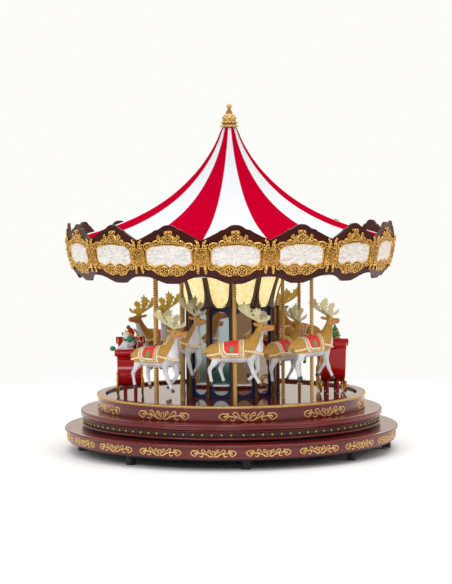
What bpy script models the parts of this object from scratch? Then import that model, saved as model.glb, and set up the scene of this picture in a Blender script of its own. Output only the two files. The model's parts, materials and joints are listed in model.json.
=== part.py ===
# Table-top reindeer carousel, modelled as the model it is, at its own size.
# Metres, +Z up, origin on the ground under the middle. Angles run from -Y towards +X.
# Everything above the upper ring's recess turns about Z; each rider slides up and down with its pole.
import math

import bmesh
import bpy
from mathutils import Matrix, Vector

MM = 0.001
GAP = 0.3 * MM                 # clearance between pieces that touch

# Base, from the ground up
FOOT_RADIUS = 4.35 * MM
FOOT_CIRCLE = 152.0 * MM
FOOT_COUNT = 8
FOOT_PHASE = 3.4               # degrees
PLATE_RADIUS = 163.0 * MM
PLATE_BOTTOM = 9.6 * MM
PLINTH_RADIUS = 170.0 * MM     # the lip; the wall stands back under it
PLINTH_WALL = 167.4 * MM
PLINTH_BOTTOM = 11.6 * MM
PLINTH_TOP = 25.0 * MM
STEP_RADIUS = 153.7 * MM
STEP_TOP = 42.6 * MM
GROOVE_LOW = 29.5 * MM
GROOVE_HIGH = 36.6 * MM
GROOVE_RADIUS = 149.2 * MM
STRIP_RADIUS = 150.6 * MM
RING_RADIUS = 136.0 * MM
RING_INNER = 128.0 * MM
RING_TOP = 57.9 * MM
TRIM_RADIUS = 137.4 * MM
TRIM_HEIGHT = 2.1 * MM
RECESS_FLOOR = 34.4 * MM
BOSS_RADIUS = 12.0 * MM
BOSS_HEIGHT = 2.7 * MM         # the turntable rests over it
SWITCH_SIZE = (11.0 * MM, 9.0 * MM, 7.6 * MM)
SWITCH_CIRCLE = 158.0 * MM
SWITCH_STATION = 81.3          # degrees

# Turntable and centre
FLOOR = 55.4 * MM              # top of the turntable
TABLE_RADIUS = 126.3 * MM
TABLE_BOTTOM = 37.4 * MM
SIDES = 12                     # of the column
CORE_CORNER = 44.5 * MM
SHELL_CORNER = 45.9 * MM
SHELL_INNER = 44.8 * MM
COLUMN_TOP = 145.0 * MM
MIRROR_WIDTH = 17.0 * MM
MIRROR_LOW = 57.8 * MM
MIRROR_HIGH = 142.2 * MM
PILLAR_CIRCLE = 48.3 * MM
PILLAR_RADIUS = 2.0 * MM
COLLAR_HEIGHT = 1.4 * MM       # of the rings that join the pillars
LANTERN_FOOT = 45.0 * MM       # radius of the glass at its foot
LANTERN_HEAD = 56.0 * MM       # radius of the glass under the ceiling
LANTERN_SKIN = 1.3 * MM        # thickness of the frame round the glass
TEAR_HALF_WIDTH = 10.2 * MM    # of the drop-shaped openings in the frame

# Roof
CEILING_LOW = 181.0 * MM
CEILING_HIGH = 183.4 * MM
CEILING_RADIUS = 150.5 * MM
CEILING_FLANGE = 153.2 * MM
BOARDS = 16
BOARD_LOW = 176.2 * MM         # bottom point, in the middle of a board
BOARD_CREST = 231.0 * MM
# a board's lower and upper edge: (share of its half width, height in millimetres)
BOARD_LOWER_EDGE = [(0.0, 176.2), (0.25, 176.8), (0.5, 180.0), (0.75, 182.6), (1.0, 183.3)]
BOARD_UPPER_EDGE = [(0.0, 231.0), (0.25, 228.0), (0.5, 224.2), (0.75, 220.0), (1.0, 216.7)]
BOARD_FOOT = 153.8 * MM        # distance of a board's foot from the axis
BOARD_HEAD = 164.6 * MM
BOARD_THICK = 2.5 * MM
CANOPY_THICK = 1.4 * MM
CANOPY_TOP = 326.4 * MM
# the canopy's outer profile from the finial to the rim: (radius, height) in millimetres
CANOPY_PROFILE = [(8.5, 326.4), (13.4, 313.7), (18.6, 303.5), (30.0, 287.0), (47.0, 268.9), (65.0, 254.2),
                  (91.6, 239.0), (118.0, 228.2), (144.0, 220.3), (160.8, 215.1)]
TOTAL_HEIGHT = 350.4 * MM

# Riders
POLE_RADIUS = 2.05 * MM
POLE_HOLE = 2.4 * MM
POLE_DEPTH = 9.0 * MM          # below the turntable's top at mid stroke
POLE_TOP = 193.5 * MM
OUTER_CIRCLE = 117.0 * MM
INNER_CIRCLE = 76.5 * MM
SLEIGH_CIRCLE = 102.7 * MM
ANTLER_LEAN = 16               # degrees outwards
# ring, station in degrees, how high the rider rests above its mid stroke, its turn on the pole in degrees
RIDERS = {
    "outer_front": (OUTER_CIRCLE, 0.0, 0.0, 0.0),
    "outer_front_right": (OUTER_CIRCLE, 40.6, 2.4 * MM, 0.0),
    "outer_front_left": (OUTER_CIRCLE, -40.6, -6.6 * MM, 3.0),
    "outer_back": (OUTER_CIRCLE, 180.0, 2.0 * MM, 0.0),
    "outer_back_right": (OUTER_CIRCLE, 139.4, 2.3 * MM, 0.0),
    "outer_back_left": (OUTER_CIRCLE, -139.4, -3.7 * MM, 0.0),
    "inner_front_right": (INNER_CIRCLE, 40.6, -4.6 * MM, 8.0),
    "inner_front_left": (INNER_CIRCLE, -40.6, 4.0 * MM, -14.0),
    "inner_back_right": (INNER_CIRCLE, 139.4, 3.0 * MM, 0.0),
    "inner_back_left": (INNER_CIRCLE, -139.4, 1.7 * MM, 0.0),
}


# Scene, materials and small helpers

def clear_scene():
    for obj in list(bpy.data.objects):
        bpy.data.objects.remove(obj)
    for mesh in list(bpy.data.meshes):
        bpy.data.meshes.remove(mesh)


def new_collection(name):
    made = bpy.data.collections.new(name)
    bpy.context.scene.collection.children.link(made)
    return made


def make_material(name, colour, roughness, metallic=0.0):
    mat = bpy.data.materials.new(name)
    mat.use_nodes = True
    shader = mat.node_tree.nodes["Principled BSDF"]
    shader.inputs["Base Color"].default_value = (*colour, 1.0)
    shader.inputs["Roughness"].default_value = roughness
    shader.inputs["Metallic"].default_value = metallic
    return mat


def new_object(name, mesh, mat=None, cutter=False):
    obj = bpy.data.objects.new(name, mesh)
    if cutter:
        cutters.objects.link(obj)
        obj.hide_render = True
        obj.display_type = "WIRE"
    else:
        parts.objects.link(obj)
        mesh.materials.clear()
        mesh.materials.append(mat)
    return obj


def station_matrix(radius, degrees, z=0.0):
    # a frame on the turning circle: local X along the ride, local -Y outwards
    turn = Matrix.Rotation(math.radians(degrees), 4, "Z")
    return turn @ Matrix.Translation((0.0, -radius, z))


def smooth(mesh):
    mesh.shade_smooth()
    mesh.set_sharp_from_angle(angle=math.radians(35))


def from_bmesh(name, bm):
    mesh = bpy.data.meshes.new(name)
    bm.to_mesh(mesh)
    bm.free()
    return mesh


def polyline_mesh(name, points, closed):
    bm = bmesh.new()
    verts = [bm.verts.new((r, 0.0, z)) for r, z in points]
    pairs = list(zip(verts, verts[1:]))
    if closed:
        pairs.append((verts[-1], verts[0]))
    for a, b in pairs:
        bm.edges.new((a, b))
    return from_bmesh(name, bm)


def add_screw(obj, steps):
    screw = obj.modifiers.new("turn", "SCREW")
    screw.axis = "Z"
    screw.angle = math.radians(360)
    screw.steps = steps
    screw.render_steps = steps
    screw.use_merge_vertices = True
    screw.merge_threshold = 0.00001


def turned(name, profile, steps, mat, closed=False):
    # a profile of (radius, height) points, down the outer side, turned about Z
    obj = new_object(name, polyline_mesh(name, profile, closed), mat)
    add_screw(obj, steps)
    return obj


def cone_between(name, start, end, r_start, r_end, sides):
    start, end = Vector(start), Vector(end)
    bm = bmesh.new()
    bmesh.ops.create_cone(bm, cap_ends=True, segments=sides, radius1=r_start, radius2=r_end,
                          depth=(end - start).length)
    turn = (end - start).to_track_quat("Z", "Y").to_matrix().to_4x4()
    bmesh.ops.transform(bm, matrix=Matrix.Translation((start + end) / 2) @ turn, verts=bm.verts)
    return new_object(name, from_bmesh(name, bm), cutter=True)


def ball(name, centre, radii, segments=10, rings=6):
    bm = bmesh.new()
    bmesh.ops.create_uvsphere(bm, u_segments=segments, v_segments=rings, radius=1.0)
    shape = Matrix.Translation(centre) @ Matrix.Diagonal((*radii, 1.0))
    bmesh.ops.transform(bm, matrix=shape, verts=bm.verts)
    return new_object(name, from_bmesh(name, bm), cutter=True)


def block(name, centre, size):
    bm = bmesh.new()
    bmesh.ops.create_cube(bm, size=1.0)
    shape = Matrix.Translation(centre) @ Matrix.Diagonal((*size, 1.0))
    bmesh.ops.transform(bm, matrix=shape, verts=bm.verts)
    return new_object(name, from_bmesh(name, bm), cutter=True)


def plate(name, outline, thickness, matrix):
    # a flat outline of (x, y) points, filled, extruded, then made a mesh so that it can be joined
    curve = bpy.data.curves.new(name, "CURVE")
    curve.dimensions = "2D"
    curve.fill_mode = "BOTH"
    curve.extrude = thickness / 2
    spline = curve.splines.new("POLY")
    spline.points.add(len(outline) - 1)
    for point, (x, y) in zip(spline.points, outline):
        point.co = (x, y, 0.0, 1.0)
    spline.use_cyclic_u = True
    drawn = bpy.data.objects.new(name, curve)
    cutters.objects.link(drawn)
    drawn.matrix_world = matrix
    bpy.context.view_layer.update()
    evaluated = drawn.evaluated_get(bpy.context.evaluated_depsgraph_get())
    mesh = bpy.data.meshes.new_from_object(evaluated)
    bm = bmesh.new()
    bm.from_mesh(mesh)
    bmesh.ops.remove_doubles(bm, verts=bm.verts, dist=0.000001)
    bmesh.ops.recalc_face_normals(bm, faces=bm.faces)
    bm.to_mesh(mesh)
    bm.free()
    made = new_object(name + "_solid", mesh, cutter=True)
    made.matrix_world = drawn.matrix_world
    bpy.data.objects.remove(drawn)
    return made


def ribbon(points, half):
    # the outline of a flat band that follows the points, half its width to each side
    sides = ([], [])
    for i, point in enumerate(points):
        along = (points[min(i + 1, len(points) - 1)] - points[max(i - 1, 0)]).normalized()
        across = Vector((-along.y, along.x)) * half
        sides[0].append(tuple(point + across))
        sides[1].append(tuple(point - across))
    return sides[0] + sides[1][::-1]


def boolean(obj, other, operation):
    mod = obj.modifiers.new(operation.lower(), "BOOLEAN")
    mod.operation = operation
    mod.solver = "EXACT"
    mod.object = other


def fused_mesh(name, pieces, removed=(), keep=1.0):
    # one closed mesh from overlapping pieces, less the removed ones, with a share of its faces kept
    for other in pieces[1:]:
        boolean(pieces[0], other, "UNION")
    if keep < 1.0:
        thin = pieces[0].modifiers.new("fewer_faces", "DECIMATE")
        thin.ratio = keep
    for other in removed:
        boolean(pieces[0], other, "DIFFERENCE")
    bpy.context.view_layer.update()
    evaluated = pieces[0].evaluated_get(bpy.context.evaluated_depsgraph_get())
    mesh = bpy.data.meshes.new_from_object(evaluated)
    mesh.name = name
    mesh.transform(pieces[0].matrix_world)
    smooth(mesh)
    for piece in [*pieces, *removed]:
        bpy.data.objects.remove(piece)
    return mesh


# Base

def build_base():
    feet = [cone_between("foot_plate_disc", (0, 0, PLATE_BOTTOM), (0, 0, PLINTH_BOTTOM - GAP),
                         PLATE_RADIUS, PLATE_RADIUS, 48)]
    for i in range(FOOT_COUNT):
        spot = station_matrix(FOOT_CIRCLE, FOOT_PHASE + i * 360 / FOOT_COUNT).translation
        top = (spot.x, spot.y, PLATE_BOTTOM + 1.0 * MM)
        feet.append(cone_between("foot", spot, top, FOOT_RADIUS, FOOT_RADIUS, 8))
    new_object("base_plate", fused_mesh("base_plate", feet), rubber)

    turned("lower_plinth", [
        (0.0, PLINTH_TOP), (PLINTH_RADIUS - 2.5 * MM, PLINTH_TOP),
        (PLINTH_RADIUS - 0.6 * MM, PLINTH_TOP - 0.7 * MM),
        (PLINTH_RADIUS, PLINTH_TOP - 2.0 * MM), (PLINTH_RADIUS - 0.7 * MM, PLINTH_TOP - 3.4 * MM),
        (PLINTH_WALL, PLINTH_TOP - 3.9 * MM), (PLINTH_WALL, PLINTH_BOTTOM), (0.0, PLINTH_BOTTOM)],
        48, mahogany)

    foot = PLINTH_TOP + GAP
    turned("step_tier", [
        (0.0, RECESS_FLOOR + BOSS_HEIGHT), (BOSS_RADIUS, RECESS_FLOOR + BOSS_HEIGHT),
        (BOSS_RADIUS, RECESS_FLOOR),
        (RING_INNER, RECESS_FLOOR), (RING_INNER, STEP_TOP), (STEP_RADIUS - 2.6 * MM, STEP_TOP),
        (STEP_RADIUS - 0.7 * MM, STEP_TOP - 0.7 * MM), (STEP_RADIUS, STEP_TOP - 2.4 * MM),
        (STEP_RADIUS, GROOVE_HIGH + 0.8 * MM), (STEP_RADIUS - 0.8 * MM, GROOVE_HIGH),
        (GROOVE_RADIUS, GROOVE_HIGH), (GROOVE_RADIUS, GROOVE_LOW), (STEP_RADIUS - 1.2 * MM, GROOVE_LOW),
        (STEP_RADIUS, GROOVE_LOW - 1.4 * MM), (STEP_RADIUS, foot), (0.0, foot)],
        48, mahogany)
    turned("light_strip", [
        (GROOVE_RADIUS + GAP, GROOVE_HIGH - GAP), (STRIP_RADIUS, GROOVE_HIGH - GAP),
        (STRIP_RADIUS, GROOVE_LOW + GAP), (GROOVE_RADIUS + GAP, GROOVE_LOW + GAP)],
        48, dark_strip, closed=True)
    turned("upper_ring", [
        (RING_INNER, RING_TOP), (RING_RADIUS, RING_TOP), (RING_RADIUS, STEP_TOP + GAP),
        (RING_INNER, STEP_TOP + GAP)],
        48, mahogany, closed=True)
    turned("ring_trim", [
        (RING_RADIUS + GAP, RING_TOP), (TRIM_RADIUS, RING_TOP), (TRIM_RADIUS, RING_TOP - TRIM_HEIGHT),
        (RING_RADIUS + GAP, RING_TOP - TRIM_HEIGHT)],
        48, gold, closed=True)

    box = block("switch_box_block", (0, 0, 0), SWITCH_SIZE)
    switch = new_object("switch_box", fused_mesh("switch_box", [box]), rubber)
    switch.matrix_world = station_matrix(SWITCH_CIRCLE, SWITCH_STATION,
                                         PLATE_BOTTOM - GAP - SWITCH_SIZE[2] / 2)


# Turntable and centre

def pole_cutters(low, high):
    made = []
    for radius, degrees, lift, turn in RIDERS.values():
        spot = station_matrix(radius, degrees).translation
        made.append(cone_between("pole_hole", (spot.x, spot.y, low), (spot.x, spot.y, high),
                                 POLE_HOLE, POLE_HOLE, 8))
    return made


def prism(name, corner, low, high):
    # a twelve-sided prism with a corner at -Y
    bm = bmesh.new()
    bmesh.ops.create_cone(bm, cap_ends=True, segments=SIDES, radius1=corner, radius2=corner,
                          depth=high - low)
    bmesh.ops.translate(bm, vec=(0, 0, (low + high) / 2), verts=bm.verts)
    return new_object(name, from_bmesh(name, bm), cutter=True)


def stadium(width, length, points=6):
    # an upright slot with round ends, centred on the origin
    r = width / 2
    half = length / 2 - r
    top = [(r * math.cos(math.pi * i / points), half + r * math.sin(math.pi * i / points))
           for i in range(points + 1)]
    return top + [(-x, -y) for x, y in top]


def radial_matrix(degrees, radius, z):
    # local X sideways, local Y up, local Z outwards
    turn = Matrix.Rotation(math.radians(degrees), 4, "Z")
    return turn @ Matrix.Translation((0, -radius, z)) @ Matrix.Rotation(math.radians(90), 4, "X")


def build_turntable():
    disc = cone_between("turntable_disc", (0, 0, TABLE_BOTTOM), (0, 0, FLOOR),
                        TABLE_RADIUS, TABLE_RADIUS, 48)
    mesh = fused_mesh("turntable", [disc], pole_cutters(TABLE_BOTTOM - 1 * MM, FLOOR + 1 * MM))
    new_object("turntable", mesh, mahogany)


def build_column():
    low = FLOOR + GAP
    core = fused_mesh("mirror_core", [prism("core", CORE_CORNER, low, COLUMN_TOP)])
    new_object("mirror_core", core, mirror)

    shell = prism("shell", SHELL_CORNER, low, COLUMN_TOP)
    hollow = prism("shell_hollow", SHELL_INNER, low - 1 * MM, COLUMN_TOP + 1 * MM)
    windows = [hollow]
    apothem = SHELL_CORNER * math.cos(math.pi / SIDES)
    for i in range(SIDES):
        place = radial_matrix((i + 0.5) * 360 / SIDES, apothem, (MIRROR_LOW + MIRROR_HIGH) / 2)
        opening = stadium(MIRROR_WIDTH, MIRROR_HIGH - MIRROR_LOW)
        windows.append(plate("mirror_window", opening, 6 * MM, place))
    new_object("column_shell", fused_mesh("column_shell", [shell], windows), navy)

    def collar(bottom, height):
        outer = PILLAR_CIRCLE + PILLAR_RADIUS + 0.4 * MM
        return ring_solid("pillar_collar", SHELL_CORNER + GAP, outer, bottom, bottom + height)
    pillars = [collar(low, COLLAR_HEIGHT), collar(COLUMN_TOP - COLLAR_HEIGHT, COLLAR_HEIGHT)]
    for i in range(SIDES):
        spot = station_matrix(PILLAR_CIRCLE, i * 360 / SIDES).translation
        foot = (spot.x, spot.y, low + COLLAR_HEIGHT / 2)
        head = (spot.x, spot.y, COLUMN_TOP - COLLAR_HEIGHT / 2)
        pillars.append(cone_between("pillar", foot, head, PILLAR_RADIUS, PILLAR_RADIUS, 6))
    new_object("column_pillars", fused_mesh("column_pillars", pillars), gold)


def ring_solid(name, inner, outer, low, high, steps=36):
    outline = [(inner, high), (outer, high), (outer, low), (inner, low)]
    obj = new_object(name, polyline_mesh(name, outline, True), cutter=True)
    add_screw(obj, steps)
    return obj


def lantern_radius(t):
    # the glass flares as it rises, slowly and then faster
    return LANTERN_FOOT + (LANTERN_HEAD - LANTERN_FOOT) * (0.55 * t + 0.45 * t * t)


def build_lantern():
    low = COLUMN_TOP + GAP
    high = CEILING_LOW - GAP
    levels = 3

    def wall(offset, bottom, top):
        return [(lantern_radius(1 - i / levels) + offset, top - (top - bottom) * i / levels)
                for i in range(levels + 1)]

    turned("lantern_glass", [(0, high), *wall(0.0, low, high), (0, low)], 24, cream)

    outer = wall(LANTERN_SKIN + GAP, low, high)
    inner = wall(GAP, low, high)
    frame = new_object("lantern_skin", polyline_mesh("lantern_skin", outer + inner[::-1], True), cutter=True)
    add_screw(frame, 24)
    tears = []
    middle = (low + high) / 2
    for i in range(SIDES):
        place = radial_matrix((i + 0.5) * 360 / SIDES, LANTERN_FOOT + 4 * MM, middle)
        tears.append(plate("tear_window", tear_outline(high - low - 4 * MM), 26 * MM, place))
    new_object("lantern_frame", fused_mesh("lantern_frame", [frame], tears), dark_brown)


def tear_outline(height):
    # a drop shape, wide above and coming to a round point below
    half = height / 2
    rows = 4
    right = []
    for i in range(rows + 1):
        t = i / rows
        right.append((TEAR_HALF_WIDTH * (1.0 - (1.0 - t) ** 2) ** 0.6 + 0.7 * MM, -half + height * t))
    return right + [(-x, y) for x, y in right[::-1]]


# Roof

def board_distance(t):
    # distance of a board's face from the axis, t from 0 at its foot to 1 at its crest
    return BOARD_HEAD - (BOARD_HEAD - BOARD_FOOT) * (1 - t) ** 2.5


def read_table(table, x):
    for (x0, y0), (x1, y1) in zip(table, table[1:]):
        if x <= x1:
            return y0 + (y1 - y0) * (x - x0) / (x1 - x0)
    return table[-1][1]


def board_edges(s):
    # heights of the lower and upper edge, s from -1 to 1 across the board
    return read_table(BOARD_LOWER_EDGE, abs(s)) * MM, read_table(BOARD_UPPER_EDGE, abs(s)) * MM


def build_boards():
    columns = 8
    rows = 3
    bm = bmesh.new()
    bmesh.ops.create_grid(bm, x_segments=BOARDS * columns, y_segments=rows, size=0.5)
    half = math.pi / BOARDS
    for vert in bm.verts:
        across = (vert.co.x + 0.5) * BOARDS
        board = min(int(across + 1e-4), BOARDS - 1)
        s = 2 * (across - board) - 1
        low, high = board_edges(s)
        z = low + (high - low) * (vert.co.y + 0.5)
        distance = board_distance((z - BOARD_LOW) / (BOARD_CREST - BOARD_LOW))
        spot = Vector((s * distance * math.tan(half), -distance, z))
        spot.rotate(Matrix.Rotation(2 * half * board, 3, "Z"))
        vert.co = spot
    bmesh.ops.remove_doubles(bm, verts=bm.verts, dist=0.00001)
    bmesh.ops.recalc_face_normals(bm, faces=bm.faces)
    sample = bm.faces[0]
    outwards = sample.calc_center_median() * Vector((1, 1, 0))
    if sample.normal.dot(outwards) < 0:
        bmesh.ops.reverse_faces(bm, faces=bm.faces)
    boards = new_object("rounding_boards", from_bmesh("rounding_boards", bm), dark_brown)
    solid = boards.modifiers.new("thickness", "SOLIDIFY")
    solid.thickness = BOARD_THICK
    solid.offset = -1.0


def build_roof():
    disc = cone_between("ceiling_disc", (0, 0, CEILING_LOW), (0, 0, CEILING_HIGH),
                        CEILING_RADIUS, CEILING_FLANGE, 48)
    mesh = fused_mesh("ceiling", [disc], pole_cutters(CEILING_LOW - 1 * MM, CEILING_HIGH + 1 * MM))
    new_object("ceiling", mesh, pale_grey)

    build_boards()

    canopy = turned("canopy", [(r * MM, z * MM) for r, z in CANOPY_PROFILE], 32, canopy_red)
    solid = canopy.modifiers.new("thickness", "SOLIDIFY")
    solid.thickness = CANOPY_THICK
    solid.offset = -1.0

    foot = CANOPY_TOP + GAP
    turned("finial", [
        (0, TOTAL_HEIGHT), (1.9 * MM, TOTAL_HEIGHT - 0.8 * MM), (2.8 * MM, TOTAL_HEIGHT - 2.5 * MM),
        (1.3 * MM, TOTAL_HEIGHT - 4.7 * MM), (2.8 * MM, TOTAL_HEIGHT - 6.3 * MM),
        (3.5 * MM, TOTAL_HEIGHT - 8.5 * MM),
        (3.4 * MM, TOTAL_HEIGHT - 9.7 * MM), (6.6 * MM, TOTAL_HEIGHT - 14.4 * MM),
        (8.6 * MM, TOTAL_HEIGHT - 19.0 * MM), (7.2 * MM, TOTAL_HEIGHT - 20.6 * MM),
        (9.4 * MM, TOTAL_HEIGHT - 21.5 * MM), (9.4 * MM, foot), (0, foot)],
        16, gold)


# Riders

def deer_mesh():
    # forward is +X, heights count from the turntable at mid stroke, the pole passes at x = y = 0
    def at(x, y, z):
        return (x * MM, y * MM, z * MM)

    def limb(points, radii, sides=5):
        return [cone_between("limb", at(*p), at(*q), r0 * MM, r1 * MM, sides)
                for p, q, r0, r1 in zip(points, points[1:], radii, radii[1:])]

    pieces = [ball("barrel", at(-2, 0, 52), (24 * MM, 8 * MM, 9.6 * MM), 8, 6)]
    pieces.append(ball("chest", at(15, 0, 54), (11.5 * MM, 7.2 * MM, 10.5 * MM), 6, 5))
    pieces.append(cone_between("blanket", at(-14, 0, 51.5), at(9.6, 0, 53.2), 10.3 * MM, 10.8 * MM, 8))
    pieces += limb([(19.4, 0, 58.5), (21.8, 0, 67.0), (21.9, 0, 77.2)], [8.0, 5.4, 4.1], 6)
    pieces += limb([(19.0, 0, 76.8), (38.4, 0, 75.6)], [5.2, 2.6], 6)
    for side in (-1, 1):
        pieces += limb([(20.4, side * 3.2, 78), (15.4, side * 7.4, 80)], [2.3, 0.8], 4)
    pieces += limb([(-24, 0, 55), (-29.5, 0, 51)], [3.0, 1.0], 4)
    pieces += limb([(15.6, -4.2, 49), (17.6, -4.4, 33), (25.0, -4.4, 20)], [4.6, 2.3, 2.0])
    pieces += limb([(20, 4.2, 49), (22.6, 4.4, 35.4), (12.4, 4.4, 23.2)], [4.4, 2.4, 2.0])
    pieces += limb([(-17, -4, 50), (-24.2, -4.4, 36.6), (-22.2, -4.4, 21.4)], [5.8, 2.4, 2.0])
    pieces += limb([(-12.8, 4, 50), (-13.6, 4.4, 36), (-10.4, 4.4, 21.2)], [5.4, 2.3, 2.0])

    antler = [(21.5, 79.5), (13.4, 84.4), (4.4, 92.4), (1.8, 97.0), (6.2, 96.4), (9.0, 103.0),
              (12.4, 98.6), (13.6, 93.6), (16.2, 93.0), (18.4, 96.6), (24.4, 96.8), (26.2, 92.6),
              (30.8, 90.6), (34.0, 86.4), (33.4, 83.8), (27.0, 82.8), (25.5, 79.5)]
    root = 79.5
    for side in (-1, 1):
        # each flat antler leans outwards from its root on the brow
        outline = [(x * MM, (z - root) * MM) for x, z in antler]
        lean = Matrix.Rotation(math.radians(90 + side * ANTLER_LEAN), 4, "X")
        place = Matrix.Translation(at(0, side * 2.6, root - 1.0)) @ lean
        pieces.append(plate("antler", outline, 1.8 * MM, place))
    bore = cone_between("pole_bore", at(0, 0, 30), at(0, 0, 75), POLE_HOLE, POLE_HOLE, 8)
    return fused_mesh("deer", pieces, [bore], 0.5)


def build_riders():
    deer = deer_mesh()
    pole = bpy.data.meshes.new("pole")
    bm = bmesh.new()
    length = POLE_TOP - (FLOOR - POLE_DEPTH)
    bmesh.ops.create_cone(bm, cap_ends=True, segments=8, radius1=POLE_RADIUS, radius2=POLE_RADIUS,
                          depth=length)
    bmesh.ops.translate(bm, vec=(0, 0, length / 2 - POLE_DEPTH), verts=bm.verts)
    bm.to_mesh(pole)
    bm.free()
    smooth(pole)
    for name, (radius, degrees, lift, turn) in RIDERS.items():
        # the guide stands on the slide's own axis, at the turntable's height
        guide = bpy.data.objects.new("guide_" + name, None)
        parts.objects.link(guide)
        heading = Matrix.Rotation(math.radians(turn), 4, "Z")
        guide.matrix_world = station_matrix(radius, degrees, FLOOR + lift) @ heading
        new_object("deer_" + name, deer, deer_brown).parent = guide
        new_object("pole_" + name, pole, gold).parent = guide


# Sleighs

def sleigh_side():
    # side outline of the sleigh's body, forward is +X, heights above the turntable, in millimetres
    return [(-21.0, 53.0), (-24.5, 57.0), (-28.0, 55.5), (-28.5, 51.0), (-26.0, 46.0), (-25.0, 34.0),
            (-22.5, 22.0), (-17.0, 15.0), (0.0, 12.0), (14.0, 10.0), (21.0, 13.0), (23.5, 24.0),
            (22.5, 37.0), (26.5, 40.5), (27.5, 45.0), (24.5, 48.0), (20.0, 46.5), (16.0, 36.0),
            (6.0, 31.0), (-8.0, 31.5), (-16.0, 36.0), (-19.5, 45.0)]


def build_sleigh(name, degrees, load):
    place = station_matrix(SLEIGH_CIRCLE, degrees, FLOOR + GAP)
    upright = Matrix.Rotation(math.radians(90), 4, "X")
    outline = [(x * MM, z * MM) for x, z in sleigh_side()]
    body = [plate("sleigh_body", outline, 25.4 * MM, upright)]
    for x in (-13, 13):
        for y in (-5.2, 5.2):
            body.append(cone_between("sleigh_leg", (x * MM, y * MM, 0), (x * MM, y * MM, 18 * MM),
                                     1.7 * MM, 1.7 * MM, 6))
    # the rolled edges over the dash and the seat back stand wider than the body
    for x, z, radius in ((24.4, 44.4, 3.5), (-25.6, 53.4, 3.7)):
        body.append(cone_between("sleigh_roll", (x * MM, -15 * MM, z * MM), (x * MM, 15 * MM, z * MM),
                                 radius * MM, radius * MM, 10))
    sleigh = new_object(name, fused_mesh(name, body), red)
    sleigh.matrix_world = place

    rail = [(-25.0, 4.5), (-10.0, 2.6), (14.0, 2.6), (25.0, 5.5), (29.5, 13.0), (28.5, 21.0), (24.5, 24.0)]
    band = ribbon([Vector((x * MM, z * MM)) for x, z in rail], 1.2 * MM)
    runner = []
    for side in (-1, 1):
        stand = Matrix.Translation((0, side * 14.9 * MM, 0)) @ upright
        runner.append(plate("runner", band, 2.2 * MM, stand))
    for x in (-8, 8):
        left, right = [(x * MM, side * 15.4 * MM, 2.8 * MM) for side in (-1, 1)]
        runner.append(cone_between("runner_bar", left, right, 0.9 * MM, 0.9 * MM, 6))
    made = new_object(name + "_runners", fused_mesh(name + "_runners", runner), gold)
    made.matrix_world = place

    what, pieces, mat = load()
    cargo = new_object(what, fused_mesh(what, pieces), mat)
    cargo.matrix_world = place


def snowman():
    def at(x, y, z):
        return (x * MM, y * MM, z * MM)
    pieces = [ball("body", at(1, -1.8, 42.4), (6.6 * MM, 6.8 * MM, 8.6 * MM)),
              ball("chest", at(1.4, -2.2, 51.4), (5.6 * MM, 5.9 * MM, 5.8 * MM)),
              ball("head", at(2.4, -2.4, 60.2), (5.2 * MM, 5.2 * MM, 5.2 * MM)),
              cone_between("hat", at(2.0, -1.6, 62.6), at(1.4, -1.6, 70.6), 4.8 * MM, 1.8 * MM, 8),
              cone_between("arm", at(1.8, -5, 53), at(4.6, -19.5, 46.4), 2.6 * MM, 2.4 * MM, 6),
              cone_between("arm", at(3, 1.5, 51.5), at(8.6, -0.4, 58.6), 2.6 * MM, 2.8 * MM, 6),
              ball("sack", at(-3.0, 6.4, 47.6), (5.0 * MM, 4.8 * MM, 8.6 * MM))]
    return "snowman", pieces, white


def gift_tree():
    def at(x, y, z):
        return (x * MM, y * MM, z * MM)
    pieces = [cone_between("skirt", at(-4, -2.6, 34.6), at(-4, -2.6, 52), 8.4 * MM, 5.0 * MM, 10),
              cone_between("middle", at(-4, -2.6, 49), at(-4, -2.6, 62), 6.8 * MM, 2.8 * MM, 10),
              cone_between("tip", at(-4, -2.6, 59), at(-4, -2.6, 70.4), 4.4 * MM, 0.8 * MM, 10)]
    return "gift_tree", pieces, green


clear_scene()
parts = new_collection("reindeer_carousel")
cutters = new_collection("cutters")

mahogany = make_material("mahogany", (0.11, 0.02, 0.018), 0.18)
rubber = make_material("rubber", (0.01, 0.01, 0.01), 0.6)
dark_strip = make_material("dark_strip", (0.05, 0.03, 0.02), 0.5)
gold = make_material("gold", (0.72, 0.45, 0.14), 0.3, 0.9)
navy = make_material("navy", (0.002, 0.01, 0.06), 0.35)
mirror = make_material("mirror", (0.85, 0.85, 0.87), 0.03, 1.0)
cream = make_material("cream", (0.95, 0.8, 0.45), 0.4)
dark_brown = make_material("dark_brown", (0.06, 0.015, 0.01), 0.35)
pale_grey = make_material("pale_grey", (0.7, 0.7, 0.7), 0.5)
canopy_red = make_material("canopy_red", (0.6, 0.0, 0.015), 0.45)
deer_brown = make_material("deer_brown", (0.42, 0.2, 0.05), 0.5)
red = make_material("sleigh_red", (0.35, 0.005, 0.01), 0.2)
white = make_material("white", (0.85, 0.85, 0.85), 0.5)
green = make_material("green", (0.02, 0.2, 0.05), 0.5)

build_base()
build_turntable()
build_column()
build_lantern()
build_roof()
build_riders()
build_sleigh("sleigh_left", -90.0, snowman)
build_sleigh("sleigh_right", 90.0, gift_tree)
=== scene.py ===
import json
import math
import random
import bmesh
import bpy
from mathutils import Matrix, Vector
from mathutils.bvhtree import BVHTree

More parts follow.
